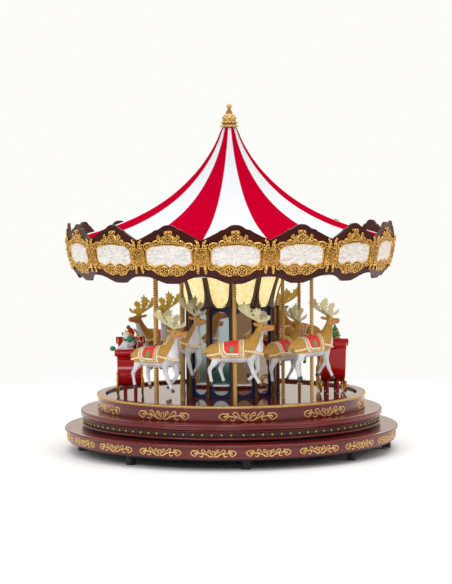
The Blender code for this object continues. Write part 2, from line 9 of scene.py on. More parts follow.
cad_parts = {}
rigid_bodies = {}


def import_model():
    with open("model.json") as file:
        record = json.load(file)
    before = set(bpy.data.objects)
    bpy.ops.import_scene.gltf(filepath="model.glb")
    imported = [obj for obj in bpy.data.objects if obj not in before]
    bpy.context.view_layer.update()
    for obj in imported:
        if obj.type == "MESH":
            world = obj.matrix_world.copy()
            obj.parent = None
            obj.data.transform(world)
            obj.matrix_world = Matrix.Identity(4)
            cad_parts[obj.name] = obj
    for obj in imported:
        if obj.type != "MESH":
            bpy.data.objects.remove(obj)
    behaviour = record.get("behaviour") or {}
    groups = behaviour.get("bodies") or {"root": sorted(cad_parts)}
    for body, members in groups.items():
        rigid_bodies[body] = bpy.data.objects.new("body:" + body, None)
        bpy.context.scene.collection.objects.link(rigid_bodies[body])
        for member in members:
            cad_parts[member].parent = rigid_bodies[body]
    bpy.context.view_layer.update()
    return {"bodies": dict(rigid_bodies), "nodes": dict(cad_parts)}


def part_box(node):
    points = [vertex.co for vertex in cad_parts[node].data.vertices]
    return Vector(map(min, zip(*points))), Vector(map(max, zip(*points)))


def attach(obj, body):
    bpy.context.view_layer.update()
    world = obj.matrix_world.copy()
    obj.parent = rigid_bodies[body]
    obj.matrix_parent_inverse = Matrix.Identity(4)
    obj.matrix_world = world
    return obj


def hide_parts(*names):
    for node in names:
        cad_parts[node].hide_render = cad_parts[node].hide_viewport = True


# Table-top reindeer carousel: the looks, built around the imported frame.
# Shapes and places are in millimetres, and Shape and makePiece turn them into the frame's metres.
# Heights count from the ground unless a note says otherwise.

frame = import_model()
mm = 0.001
tau = 2 * math.pi
print("frame loaded")


# Shader maths

class Wire:
    # one output of a node; sums and products add Math nodes
    def __init__(self, tree, socket):
        self.tree, self.socket = tree, socket

    def __add__(self, other):
        return self.tree.maths("ADD", self, other)

    def __radd__(self, other):
        return self.tree.maths("ADD", other, self)

    def __sub__(self, other):
        return self.tree.maths("SUBTRACT", self, other)

    def __rsub__(self, other):
        return self.tree.maths("SUBTRACT", other, self)

    def __mul__(self, other):
        return self.tree.maths("MULTIPLY", self, other)

    def __rmul__(self, other):
        return self.tree.maths("MULTIPLY", other, self)

    def __truediv__(self, other):
        return self.tree.maths("DIVIDE", self, other)

    def __pow__(self, other):
        return self.tree.maths("POWER", self, other)

    def __gt__(self, other):
        return self.tree.maths("GREATER_THAN", self, other)

    def __lt__(self, other):
        return self.tree.maths("LESS_THAN", self, other)

    def ramp(self, low, high):
        # 0 below low, 1 above high, smooth between
        return self.tree.node("ShaderNodeMapRange", {"interpolation_type": "SMOOTHSTEP"},
                              {"Value": self, "From Min": low, "From Max": high})


class Nodes:
    # the shader nodes of a material or of the world
    def __init__(self, owner):
        owner.use_nodes = True
        self.tree = owner.node_tree

    def plug(self, value, socket):
        # links a wire, or sets a number or a colour on the socket itself
        if isinstance(value, Wire):
            self.tree.links.new(value.socket, socket)
        elif isinstance(value, tuple) and len(value) == 3 and socket.type == "RGBA":
            socket.default_value = (*value, 1)
        else:
            socket.default_value = value

    def node(self, kind, settings=None, values=None, out=0):
        made = self.tree.nodes.new(kind)
        for key, value in (settings or {}).items():
            setattr(made, key, value)
        for key, value in (values or {}).items():
            self.plug(value, made.inputs[key])
        return Wire(self, made.outputs[out])

    def maths(self, operation, first, second=None):
        values = {0: first} if second is None else {0: first, 1: second}
        return self.node("ShaderNodeMath", {"operation": operation}, values)

    def mix(self, share, first, second):
        # colours mixed in an RGBA Mix node: factor 0, colours 6 and 7, result 2
        return self.node("ShaderNodeMix", {"data_type": "RGBA"}, {0: share, 6: first, 7: second}, 2)


class Finish(Nodes):
    # a Principled material; numbers and colours go straight onto the shader's own sockets
    def __init__(self, name, **fixed):
        self.material = bpy.data.materials.new(name)
        super().__init__(self.material)
        self.shader = self.tree.nodes["Principled BSDF"]
        self.feed(**fixed)

    def feed(self, **values):
        for key, value in values.items():
            self.plug(value, self.shader.inputs[key.replace("_", " ")])
        return self

    def spot(self, stretch=(1, 1, 1)):
        # the point of the piece in metres, stretched along its axes
        spot = self.node("ShaderNodeTexCoord", out="Object")
        if stretch == (1, 1, 1):
            return spot
        return self.node("ShaderNodeVectorMath", {"operation": "MULTIPLY"}, {0: spot, 1: stretch})

    def axis(self, name):
        # one coordinate of the point, in millimetres
        return self.node("ShaderNodeSeparateXYZ", None, {0: self.spot()}, name) * 1000

    def noise(self, scale, detail=3, stretch=(1, 1, 1)):
        return self.node("ShaderNodeTexNoise", {"noise_dimensions": "3D"},
                         {"Vector": self.spot(stretch), "Scale": scale, "Detail": detail, "Roughness": 0.55})

    def cells(self, scale, feature="F1", out="Distance"):
        return self.node("ShaderNodeTexVoronoi", {"feature": feature},
                         {"Vector": self.spot(), "Scale": scale}, out)

    def mottle(self, scale, detail, first, second):
        # two colours that wander into each other
        return self.mix(self.noise(scale, detail), first, second)

    def pointed(self, low, high):
        return self.node("ShaderNodeNewGeometry", out="Pointiness").ramp(low, high)

    def openness(self, reach):
        # 1 on free surfaces, less in hollows of the same piece
        return self.node("ShaderNodeAmbientOcclusion", {"samples": 6, "only_local": True},
                         {"Distance": reach * mm}, "AO")

    def bump(self, height, strength=0.3, distance=0.3):
        values = {"Strength": strength, "Distance": distance * mm, "Height": height}
        return self.feed(Normal=self.node("ShaderNodeBump", None, values))


# Shapes

class Shape:
    # gathers closed solids, given in millimetres, into one mesh in metres
    def __init__(self):
        self.bm = bmesh.new()

    def grid(self, rows, around=True, capped=True):
        # rows of points, each the same length; a row of one point closes the end
        made = [[self.bm.verts.new(Vector(p) * mm) for p in row] for row in rows]
        for low, high in zip(made, made[1:]):
            count = max(len(low), len(high))
            for i in range(count if around else count - 1):
                j = (i + 1) % count
                if len(low) == 1:
                    self.bm.faces.new((low[0], high[j], high[i]))
                elif len(high) == 1:
                    self.bm.faces.new((low[i], low[j], high[0]))
                else:
                    self.bm.faces.new((low[i], low[j], high[j], high[i]))
        if capped and around:
            if len(made[0]) > 2:
                self.bm.faces.new(made[0][::-1])
            if len(made[-1]) > 2:
                self.bm.faces.new(made[-1])
        return made

    def lathe(self, profile, steps=96, closed=False, place=Matrix.Identity(4)):
        # a profile of (radius, height), from the bottom up its outer side
        rows = []
        for r, z in (profile + profile[:1] if closed else profile):
            turns = range(steps if r > 1e-4 else 1)
            rows.append([place @ Vector((r * math.cos(tau * i / steps), r * math.sin(tau * i / steps), z))
                         for i in turns])
        made = self.grid(rows, capped=not closed)
        if closed:
            bmesh.ops.remove_doubles(self.bm, verts=made[0] + made[-1], dist=1e-7)

    def tube(self, points, radii, sides=8, flat=1, up=None, place=Matrix.Identity(4)):
        # a round or flattened tube along points, with closed ends; radii is one number or one for each point
        points = [Vector(p) for p in points]
        radii = radii if isinstance(radii, (list, tuple)) else [radii] * len(points)
        rows, side = [], None
        for i, point in enumerate(points):
            ahead = (points[min(i + 1, len(points) - 1)] - points[max(i - 1, 0)]).normalized()
            if up is not None:
                side = Vector(up).cross(ahead).normalized()
            elif side is None:
                side = ahead.orthogonal().normalized()
            else:
                side = (side - ahead * side.dot(ahead)).normalized()
            over = ahead.cross(side)
            wide, high = side * radii[i], over * radii[i] * flat
            rows.append([place @ (point + wide * math.cos(tau * k / sides) + high * math.sin(tau * k / sides))
                         for k in range(sides)])
        self.grid(rows)

    def ball(self, centre, radii, segments=12, rings=8, place=Matrix.Identity(4)):
        radii = radii if isinstance(radii, (list, tuple)) else (radii,) * 3
        shape = place @ Matrix.Translation(centre) @ Matrix.Diagonal((*radii, 1))
        rows = [[shape @ Vector((0, 0, -1))]]
        for i in range(1, rings):
            a = math.pi * i / rings
            rows.append([shape @ Vector((math.sin(a) * math.cos(tau * k / segments),
                                         math.sin(a) * math.sin(tau * k / segments), -math.cos(a)))
                         for k in range(segments)])
        self.grid(rows + [[shape @ Vector((0, 0, 1))]])

    def slab(self, outline, low, high, place=Matrix.Identity(4), edge=0):
        # a flat outline of (x, y) between two heights, its upper edge drawn in by edge
        middle = sum((Vector(p) for p in outline), Vector((0, 0))) / len(outline)

        def level(z, inset):
            row = []
            for p in outline:
                reach = Vector(p) - middle
                x, y = middle + reach * max(0, 1 - inset / max(reach.length, 1e-6))
                row.append(place @ Vector((x, y, z)))
            return row
        upper = [level(high - edge, 0), level(high, edge)] if edge else [level(high, 0)]
        self.grid([level(low, 0)] + upper)

    def copies(self, unit, count, rule):
        # copies of another shape: a point (x, y, z) of copy i goes to rule(i, x, y, z)
        mesh = unit.mesh("unit")
        for i in range(count):
            before = len(self.bm.verts)
            self.bm.from_mesh(mesh)
            self.bm.verts.ensure_lookup_table()
            for vert in self.bm.verts[before:]:
                vert.co = rule(i, *(vert.co / mm)) * mm
        bpy.data.meshes.remove(mesh)

    def faceOut(self):
        # turns every solid's faces outwards; the sign of its volume tells which way they are wound
        bmesh.ops.recalc_face_normals(self.bm, faces=self.bm.faces)
        seen = set()
        for start in self.bm.verts:
            if start in seen:
                continue
            seen.add(start)
            waiting, faces = [start], set()
            while waiting:
                vert = waiting.pop()
                faces.update(vert.link_faces)
                for edge in vert.link_edges:
                    other = edge.other_vert(vert)
                    if other not in seen:
                        seen.add(other)
                        waiting.append(other)
            if sum(f.calc_area() * f.normal.dot(f.calc_center_median() - start.co) for f in faces) < 0:
                for face in faces:
                    face.normal_flip()

    def mesh(self, name):
        self.faceOut()
        mesh = bpy.data.meshes.new(name)
        self.bm.to_mesh(mesh)
        self.bm.free()
        return mesh


def makePiece(name, shape, finish, body, replaces=(), place=None, sharp=38):
    # a shape, or a mesh that several pieces share, as a piece that rides on a body
    mesh = shape.mesh(name) if isinstance(shape, Shape) else shape
    piece = bpy.data.objects.new(name, mesh)
    bpy.context.scene.collection.objects.link(piece)
    if not mesh.materials:
        mesh.materials.append(finish.material)
        mesh.shade_smooth()
        mesh.set_sharp_from_angle(angle=math.radians(sharp))
    if place is not None:
        piece.matrix_world = Matrix.Translation(place.translation * (mm - 1)) @ place
    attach(piece, body)
    if replaces:
        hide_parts(*replaces)


def paintNode(name, finish):
    # a CAD node whose shape is right keeps it and gets a finish
    materials = frame["nodes"][name].data.materials
    materials.clear()
    materials.append(finish.material)


def box(name):
    # a node's lowest and highest corners in millimetres
    return [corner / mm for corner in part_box(name)]


def along(degrees, radius=0, z=0):
    # a frame on a circle: local X along the ride, local -Y outwards; angles run from -Y towards +X
    return Matrix.Rotation(math.radians(degrees), 4, "Z") @ Matrix.Translation((0, -radius, z))


def outwards(degrees, radius=0, z=0):
    # a frame on a wall: local X sideways, local Y up, local Z outwards
    return along(degrees, radius, z) @ Matrix.Rotation(math.pi / 2, 4, "X")


def wallPoint(angle, radius, z):
    # angle in radians from -Y towards +X
    return Vector((radius * math.sin(angle), -radius * math.cos(angle), z))


def smoothPath(points, steps=6):
    # a smooth curve through the points, in as many dimensions as they have
    points = [Vector(p) for p in points]
    ends = [2 * points[0] - points[1], *points, 2 * points[-1] - points[-2]]
    out = []
    for a, b, c, d in zip(ends, ends[1:], ends[2:], ends[3:]):
        for i in range(steps):
            t = i / steps
            out.append(0.5 * (2 * b + (c - a) * t + (2 * a - 5 * b + 4 * c - d) * t * t
                              + (3 * b - a - 3 * c + d) * t ** 3))
    return out + [points[-1]]


def between(table, x):
    # straight-line reading of a short table of (x, y)
    for (x0, y0), (x1, y1) in zip(table, table[1:]):
        if x <= x1:
            return y0 + (y1 - y0) * (x - x0) / (x1 - x0)
    return table[-1][1]


# Camera, light and floor

studio = {"lens": 116.9, "distance": 1930.5, "height": 266.9, "sideways": -4.5, "azimuth": -1.7, "down": 3.19,
          "roll": 0.42, "paper": 690, "backdrop": (0.985, 0.98, 0.945), "behind": (0.90, 0.82, 0.72),
          "ceiling": (0.72, 0.73, 0.74), "left": (0.36, 0.43, 0.41), "right": (0.20, 0.12, 0.06),
          "belowLeft": (0.012, 0.035, 0.026), "belowRight": (0.17, 0.10, 0.045)}
# soft boxes in metres: place, height of the point aimed at, size, power
softBoxes = {"key_light": ((-1.1, -1.3, 1.1), 0.15, (0.9, 0.9), 8.3),
             "fill_light": ((1.3, -1.1, 0.7), 0.15, (0.9, 0.9), 5.0),
             "spark_light": ((-0.12, -1.75, 0.95), 0.15, (0.5, 0.28), 4.0),
             "top_light": ((0.1, -0.2, 1.6), 0.2, (1.2, 1.2), 11.5),
             "back_light": ((0.2, 1.5, 0.9), 0.2, (1.6, 1.0), 5.0)}


def lightRoom():
    # the paper and backdrop show white; what the mirrors and the lacquer reflect is a dim room in front
    world = bpy.data.worlds.new("studio")
    room = Nodes(world)
    way = room.node("ShaderNodeTexCoord", out="Generated")
    x, y, z = (room.node("ShaderNodeSeparateXYZ", None, {0: way}, name) for name in "XYZ")
    front = room.mix(x.ramp(-0.08, 0.08), studio["left"], studio["right"])
    below = room.mix(x.ramp(-0.08, 0.08), studio["belowLeft"], studio["belowRight"])
    colour = room.mix(z.ramp(-0.10, -0.08), below, front)
    colour = room.mix(z.ramp(0.25, 0.6), colour, studio["ceiling"])
    colour = room.mix(y.ramp(-0.05, 0.25), colour, studio["behind"])
    seen = room.node("ShaderNodeLightPath", out="Is Camera Ray")
    room.plug(room.mix(seen, colour, studio["backdrop"]), room.tree.nodes["Background"].inputs["Color"])
    bpy.context.scene.world = world


def makeStudio():
    camera = bpy.data.objects.new("camera", bpy.data.cameras.new("camera"))
    bpy.context.scene.collection.objects.link(camera)
    camera.data.lens = studio["lens"]
    camera.data.sensor_width = 36
    camera.matrix_world = (
        Matrix.Rotation(math.radians(studio["azimuth"]), 4, "Z")
        @ Matrix.Translation(Vector((studio["sideways"], -studio["distance"], studio["height"])) * mm)
        @ Matrix.Rotation(math.radians(90 - studio["down"]), 4, "X")
        @ Matrix.Rotation(math.radians(-studio["roll"]), 4, "Z"))
    bpy.context.scene.camera = camera
    bpy.context.scene.view_settings.view_transform = "Standard"

    for name, (place, aim, size, power) in softBoxes.items():
        lamp = bpy.data.lights.new(name, "AREA")
        lamp.shape, lamp.size, lamp.size_y = "RECTANGLE", *size
        lamp.energy = power
        holder = bpy.data.objects.new(name, lamp)
        bpy.context.scene.collection.objects.link(holder)
        holder.location = place
        holder.rotation_euler = (Vector((0, 0, aim)) - Vector(place)).to_track_quat("-Z", "Y").to_euler()

    sheet = Shape()
    sheet.grid([[wallPoint(tau * k / 96, studio["paper"], 0) for k in range(96)], [(0, 0, 0)]], capped=False)
    mesh = sheet.mesh("studio_floor")
    mesh.materials.append(Finish("studio_paper", Base_Color=(0.97, 0.97, 0.98), Roughness=0.7).material)
    ground = bpy.data.objects.new("studio_floor", mesh)
    bpy.context.scene.collection.objects.link(ground)


lightRoom()
makeStudio()
print("studio ready")


# Finishes shared by several pieces

def lacquer(name, light, dark, grain=(1, 1, 14), rough=0.15, shine=0.45, relief=0.03):
    # gloss lacquer over close-grained wood: streaks, fine pores, and faint polishing marks in the gloss
    f = Finish(name, Specular_IOR_Level=shine)
    streak = f.noise(26, 5, grain).ramp(0.35, 0.7)
    pores = f.noise(260, 2, grain).ramp(0.5, 0.72)
    f.feed(Base_Color=f.mix(pores * 0.35, f.mix(streak, light, dark), dark),
           Roughness=rough + 0.06 * f.noise(60, 2))
    return f.bump(pores * 0.4 + streak * 0.3, relief, 0.1)


def gilding(name, high, mid, low, rough, metal, scale=900):
    # gilt with painted light: the high colour is a painted highlight on the pointed crests, the low colour is
    # brown painted shade in the hollows; leaf a little uneven
    f = Finish(name, Metallic=metal, Specular_IOR_Level=0.25)
    free = f.openness(1.6)
    patch = f.noise(scale * 0.6, 3).ramp(0.38, 0.62)
    # painted shade: the low colour where the piece's own occlusion closes in
    ground = f.mix(free.ramp(0.5, 0.96), low, mid)
    # painted highlight: the high colour on the convex crests, thinned by the leaf's patches
    crestHighlight = f.pointed(0.48, 0.60) * free.ramp(0.62, 0.95) * (0.25 + 0.75 * patch)
    f.feed(Base_Color=f.mix(crestHighlight, ground, high), Roughness=rough + 0.25 * f.noise(scale, 2))
    return f.bump(f.noise(scale, 3), 0.15, 0.12)


mahogany = lacquer("mahogany_lacquer", (0.165, 0.014, 0.015), (0.100, 0.009, 0.010))
mahoganyTop = lacquer("mahogany_top", (0.13, 0.018, 0.015), (0.09, 0.012, 0.010), (14, 1, 1), 0.02, 0.5,
                      0.004)
boardBrown = lacquer("board_brown", (0.066, 0.012, 0.009), (0.040, 0.008, 0.006), (1, 1, 10), 0.30, 0.16)
# gilt with painted highlights on its crests and painted shade in its hollows
shadedGilt = gilding("shaded_gilt", (1.0, 0.65, 0.20), (0.56, 0.24, 0.034), (0.04, 0.010, 0.001), 0.17,
                      0.75)
finialGilt = gilding("finial_gilt", (1.0, 0.84, 0.44), (0.60, 0.29, 0.055), (0.09, 0.03, 0.004), 0.22, 0.4)
paleGilt = gilding("pale_gilt", (1.0, 0.74, 0.30), (0.72, 0.37, 0.08), (0.11, 0.036, 0.005), 0.26, 0.4)
blackRubber = Finish("black_rubber", Base_Color=(0.012, 0.012, 0.012), Roughness=0.6)
blackRubber.bump(blackRubber.noise(800), 0.2, 0.1)


# Base: turned plinth, step and ring, with gilt scrolls, and the ring of small bulbs

base = {"lip": 170, "wall": 167.4, "step": 153.7, "groove": 149.4, "ring": 136, "ringInner": 128,
        "trim": 137.4, "trimHeight": 2.1, "turns": 240, "bead": 150.9, "beadLow": 34.3, "beadHigh": 36.4,
        "strip": 150.5, "switch": (10.6, 8.6), "switchAngle": 81.3, "switchCircle": 158}
# two half strips of bulbs; first bulb and pitch in degrees
bulbRow = {"half": 51, "first": 2.5, "pitch": 3.512, "joint": 0.3, "height": 2.35}


def turnedPiece(name, profile, finish, replaces=(), closed=True):
    shape = Shape()
    shape.lathe(profile, base["turns"], closed)
    makePiece(name, shape, finish, "base", replaces)


def arc(r, z, radius, start, end, points=6):
    # an arc of a turned profile, angles in degrees, 0 pointing outwards
    angles = [math.radians(start + (end - start) * i / points) for i in range(points + 1)]
    return [(r + radius * math.cos(a), z + radius * math.sin(a)) for a in angles]


def makeBase():
    low, top = (corner.z for corner in box("lower_plinth"))
    wall, lip = base["wall"], base["lip"]
    turnedPiece("lower_plinth_turned", [
        (0, low), (wall - 1.2, low), *arc(wall - 0.8, low + 0.8, 0.8, -90, 0, 4), (wall, top - 4.4),
        *arc(wall + 0.5, top - 4, 0.5, 180, 90, 3), (lip - 1.5, top - 3.5),
        *arc(lip - 1.7, top - 1.8, 1.7, -90, 70, 9),
        (lip - 3.2, top - 0.3), (lip - 4.2, top), (lip - 4.6, top), (0, top)],
        mahogany, ["lower_plinth"], closed=False)

    low, top = (corner.z for corner in box("step_tier"))
    r, groove, inner = base["step"], base["groove"], base["ringInner"]
    turnedPiece("step_tier_turned", [
        (0, low), (r - 12, low), (r - 12, low + 1.8), (r - 2.8, low + 1.9),
        *arc(r - 2.4, low + 3, 1.1, -80, 50),
        (r - 1.6, low + 4.2), (groove, low + 4.3), (groove, top - 6.2), (r - 1.9, top - 6),
        *arc(r - 1, top - 5.2, 0.8, -110, 20, 5), (r - 0.4, top - 4.6), (r, top - 4.2),
        *arc(r - 2.2, top - 2.2, 2.2, 0, 82, 9), (r - 4, top), (r - 4.4, top), (inner, top), (inner, top - 6),
        (0, top - 6)], mahogany, ["step_tier"], closed=False)

    low, top = (corner.z for corner in box("upper_ring"))
    r = base["ring"]
    turnedPiece("upper_ring_turned", [
        (inner, low), (r, low), (r, top - 0.5), *arc(r - 0.5, top - 0.5, 0.5, 0, 90, 3), (r - 0.8, top),
        (inner + 0.9, top), *arc(inner + 0.6, top - 0.6, 0.6, 90, 180, 4), (inner, low + 0.1)],
        mahogany, ["upper_ring"])

    low, top = (corner.z for corner in box("ring_trim"))
    r = base["trim"]
    turnedPiece("ring_trim_moulding", [
        (r - 1.1, low), (r - 0.3, low), (r - 0.3, low + 0.35),
        *arc(r - 0.62, low + base["trimHeight"] / 2 + 0.1, 0.62, -90, 90, 7), (r - 0.5, top), (r - 1.1, top)],
        paleGilt, ["ring_trim"])
    paintNode("base_plate", blackRubber)


def curl(centre, size, start, turns, points=14, shrink=0.25):
    # a spiral that winds in to its centre; turns may be negative
    out = []
    for i in range(points + 1):
        r, a = size * (1 - (1 - shrink) * i / points), math.radians(start + 360 * turns * i / points)
        out.append((centre[0] + r * math.cos(a), centre[1] + r * math.sin(a)))
    return out


def reliefStroke(shape, points, width, height=0.5, steps=2, taper=True):
    # a raised stroke on a flat (x, y) plane, thin at its ends
    path = smoothPath(points, steps)
    swell = [math.sin(math.pi * i / (len(path) - 1)) for i in range(len(path))]
    radii = [width * (0.45 + 0.55 * max(0, s) ** 0.5) if taper else width for s in swell]
    shape.tube([(p.x, p.y, 0) for p in path], radii, 6, height, up=(0, 0, 1))


def leaf(shape, root, angle, length, width, lift=0.7, side=1):
    # a raised leaf on the flat plane; side -1 mirrors it
    angle = angle if side > 0 else 180 - angle
    turn = Matrix.Translation((side * root[0], root[1], 0)) @ Matrix.Rotation(math.radians(angle), 4, "Z")
    rows = [[turn @ Vector((length * (0.5 + 0.56 * r * math.cos(tau * k / 6)),
                            width * 0.5 * r * math.sin(tau * k / 6), lift * up)) for k in range(6)]
            for r, up in ((1, -0.35), (0.84, 0.55))]
    shape.grid(rows + [[turn @ Vector((length * 0.5, 0, lift))]])


# half of a gilt scroll in shares of its half width and half height: a vine with a heart-shaped end
scrollStrokes = [
    ([(0, 0.62), (0.045, 0.35), (0.06, -0.05), (0.03, -0.42)], 0.56),
    ([(0.01, -0.72), (0.07, -0.92), (0.15, -0.92), (0.23, -0.62), (0.34, -0.3), (0.47, -0.08), (0.6, -0.05),
      (0.7, 0.1)], 0.72),
    ([(0.02, -0.5), (0.07, -0.5), (0.11, -0.1), (0.17, 0.12), (0.24, 0.22)], 0.6),
    ([(0.1, 0), (0.12, 0.5), (0.17, 0.68), (0.23, 0.6)], 0.6),
    ([(0.24, -0.5), (0.29, -0.1), (0.35, 0.35), (0.42, 0.8), (0.49, 0.84), (0.52, 0.45), (0.45, 0.08),
      (0.4, -0.1)], 0.6),
    ([(0.5, -0.1), (0.46, -0.45), (0.49, -0.9), (0.57, -0.9), (0.62, -0.68)], 0.6),
    ([(0.64, 0.05), (0.7, 0.4), (0.79, 0.56), (0.9, 0.52), (0.98, 0.15), (0.98, -0.3), (0.9, -0.66),
      (0.8, -0.94)], 0.68),
    ([(0.66, 0), (0.71, -0.2), (0.76, -0.55), (0.8, -0.9)], 0.6),
    ([(0.66, 0.1), (0.75, 0.1), (0.83, -0.1), (0.79, -0.4)], 0.7)]
scrollLeaves = [(0.68, 0.3, 75, 2.2), (0.72, -0.05, 0, 2.4), (0.2, 0.25, 25, 1.8), (0.2, 0.62, 60, 1.4)]


def gildWall(name, count, phase, width, height, radius, z):
    # scrolls laid round a turned wall, bent to its curve
    scroll = Shape()
    for side in (-1, 1):
        for points, thick in scrollStrokes:
            reliefStroke(scroll, [(side * x * width / 2, y * height / 2) for x, y in points], thick * 0.92, 1)
        for x, y, angle, length in scrollLeaves:
            leaf(scroll, (x * width / 2, y * height / 2), angle, length, 1.3, 0.5, side)
    ring = Shape()
    ring.copies(scroll, count, lambda i, x, y, lift: wallPoint(
        math.radians(phase + i * 360 / count) + x / radius, radius + lift, z + y))
    makePiece(name, ring, paleGilt, "base", sharp=60)


def makeBulbs():
    # the dark strip in the step's groove with its bulbs, and the moulding above it
    low, high = (corner.z for corner in box("light_strip"))
    groove, r, bead = base["groove"], base["strip"], base["bead"]
    turnedPiece("strip_moulding", [
        (groove, base["beadLow"]), (bead, base["beadLow"]), *arc(bead, base["beadLow"] + 1, 1, -80, 80, 7),
        (groove, base["beadHigh"])], mahogany)
    dark = Finish("strip_plastic", Base_Color=(0.062, 0.026, 0.026), Roughness=0.45, Specular_IOR_Level=0.3)
    dark.bump(dark.noise(500), 0.2, 0.1)
    turnedPiece("light_strip_band", [
        (groove, low), (r - 0.2, low), (r, low + 0.4), (r, high - 0.4), (r - 0.2, high), (groove, high)],
        dark, ["light_strip"])
    bulbs, sockets = Shape(), Shape()
    for half in (0, 180):
        for i in range(bulbRow["half"]):
            place = outwards(bulbRow["first"] + half + i * bulbRow["pitch"], r, low + bulbRow["height"])
            bulbs.ball((0, 0, 0.5), (0.9, 0.9, 0.95), 8, 6, place)
            sockets.lathe([(1.3, -0.1), (1.3, 0.25), (0.9, 0.5), (0.6, 0.5)], 8, False, place)
        sockets.slab([(-0.5, -2.3), (0.5, -2.3), (0.5, 2.3), (-0.5, 2.3)], -0.2, 0.3,
                     outwards(bulbRow["joint"] + half, r, low + bulbRow["height"]))
    glow = Finish("bulb_glass", Base_Color=(0.50, 0.47, 0.015), Roughness=0.2, Emission_Strength=0.1,
                  Coat_Weight=0.4)
    glow.feed(Emission_Color=glow.mottle(90, 1, (1.0, 0.80, 0.02), (0.7, 0.85, 0.04)))
    makePiece("bulbs", bulbs, glow, "base")
    makePiece("bulb_sockets", sockets, dark, "base")


def makeSwitchBox():
    low, high = (corner.z for corner in box("switch_box"))
    wide, deep = base["switch"]
    outline = []
    for x, y, start in ((1, 1, 0), (-1, 1, 90), (-1, -1, 180), (1, -1, 270)):
        outline += arc(x * (wide / 2 - 1), y * (deep / 2 - 1), 1, start, start + 90, 3)
    shape = Shape()
    place = along(base["switchAngle"], base["switchCircle"])
    shape.slab(outline, low + 0.02, high, place)
    shape.slab([(-3, -4.5), (3, -4.5), (3, -3.9), (-3, -3.9)], low + 2, low + 5, place)
    makePiece("switch_box_case", shape, blackRubber, "base", ["switch_box"])


makeBase()
gildWall("plinth_scrolls", 20, -7.7, 43.0, 7.4, 167.3, 17.5)
gildWall("ring_scrolls", 10, 5.1, 56.5, 9.0, 135.9, 48.2)
makeBulbs()
makeSwitchBox()
print("base done")


# Turntable, column and lantern

centre = {"sides": 12, "corner": 45.9, "mirrorWidth": 17, "mirrorLow": 57.8, "mirrorHigh": 142.2,
          "plate": 1.1, "pillar": 1.65, "pillarCircle": 48.3, "lanternFoot": 45, "lanternHead": 56}
riders = [body[6:] for body in frame["bodies"] if body.startswith("rider_")]


def polePlace(name, z):
    # upright at a rider's pole
    low, high = box("pole_" + name)
    return Matrix.Translation(((low.x + high.x) / 2, (low.y + high.y) / 2, z))


def makeTurntable():
    low, high = box("turntable")
    r, top = high.x, high.z
    disc, rims = Shape(), Shape()
    disc.lathe([(0, low.z), (r, low.z), (r, top - 0.4), (r - 0.15, top - 0.1), (r - 0.5, top), (r - 0.9, top),
                (0, top)], base["turns"])
    makePiece("turntable_top", disc, mahoganyTop, "rotor", ["turntable"])
    for name in riders:
        rims.lathe([(2.15, 0), (3, 0), (3, 0.55), (2.8, 0.7), (2.15, 0.7)], 24, True,
                   polePlace(name, top - 0.4))
    makePiece("pole_bushes", rims, shadedGilt, "rotor")


def stadium(width, length, points=14):
    # the right way round: the upper arc, then the lower one
    r, half = width / 2, length / 2 - width / 2
    top = arc(0, half, r, 0, 180, points)
    return top + [(-x, -y) for x, y in top]


def makeColumn():
    low, high = (corner.z for corner in box("column_shell"))
    sides, tall = centre["sides"], high - low
    apothem = centre["corner"] * math.cos(math.pi / sides)
    halfChord = centre["corner"] * math.sin(math.pi / sides)
    middle = (centre["mirrorLow"] + centre["mirrorHigh"]) / 2
    lift = middle - (low + high) / 2
    hole = stadium(centre["mirrorWidth"], centre["mirrorHigh"] - centre["mirrorLow"])
    outer = []
    for x, y in hole:
        # the nearest way out to the facet's edge, keeping the point's direction
        scale = min(halfChord / max(abs(x), 1e-6),
                    (tall / 2 - lift * math.copysign(1, y)) / max(abs(y), 1e-6))
        outer.append((x * scale, y * scale))
    shell, panes = Shape(), Shape()
    for i in range(sides):
        place = outwards((i + 0.5) * 360 / sides, apothem, middle)

        def rim(points, z, inset=0):
            return [place @ Vector((x * (1 - inset), y * (1 - inset * 0.25), z)) for x, y in points]
        depth = -centre["plate"]
        shell.grid([rim(outer, depth), rim(outer, 0), rim(hole, 0, -0.03), rim(hole, -0.25), rim(hole, depth),
                    rim(outer, depth)], capped=False)
        panes.slab(hole, -0.9, -0.35, place, 0.25)
    bmesh.ops.remove_doubles(shell.bm, verts=shell.bm.verts, dist=1e-6)
    navy = Finish("navy_enamel", Roughness=0.32, Coat_Weight=0.25)
    navy.feed(Base_Color=navy.mix(navy.noise(60, 4).ramp(0.3, 0.7), (0.002, 0.011, 0.075),
                                  (0.004, 0.020, 0.120)))
    navy.bump(navy.noise(350), 0.08, 0.1)
    makePiece("column_facets", shell, navy, "rotor", ["column_shell"], sharp=20)
    silver = Finish("mirror_glass", Base_Color=(0.93, 0.93, 0.94), Metallic=1.0)
    silver.feed(Roughness=0.015 + 0.03 * silver.noise(40, 2))
    makePiece("mirror_panes", panes, silver, "rotor", sharp=20)
    paintNode("mirror_core", navy)

    # turned pillars: rings at the foot and the same at the head
    foot = [(2.2, 0), (2.2, 0.8), (1.8, 1.1), (2.1, 1.5), (2.1, 1.9), (centre["pillar"], 2.3)]
    pillars = Shape()
    for i in range(sides):
        pillars.lathe(foot + [(r, tall - z) for r, z in foot[::-1]], 14, False,
                      along(i * 360 / sides, centre["pillarCircle"], low))
    bronze = gilding("bronze", (0.34, 0.17, 0.05), (0.20, 0.085, 0.02), (0.07, 0.03, 0.008), 0.36, 0.5, 400)
    makePiece("pillars_turned", pillars, bronze, "rotor", ["column_pillars"])


# half width of a rib up its height: wide at its foot, waisted higher up
ribHalf = [(0, 11.9), (0.004, 10.4), (0.010, 9.4), (0.022, 8.3), (0.036, 7.5), (0.053, 6.8), (0.095, 5.8),
           (0.18, 4.6), (0.31, 3.6), (0.5, 3.1), (1, 2.9)]
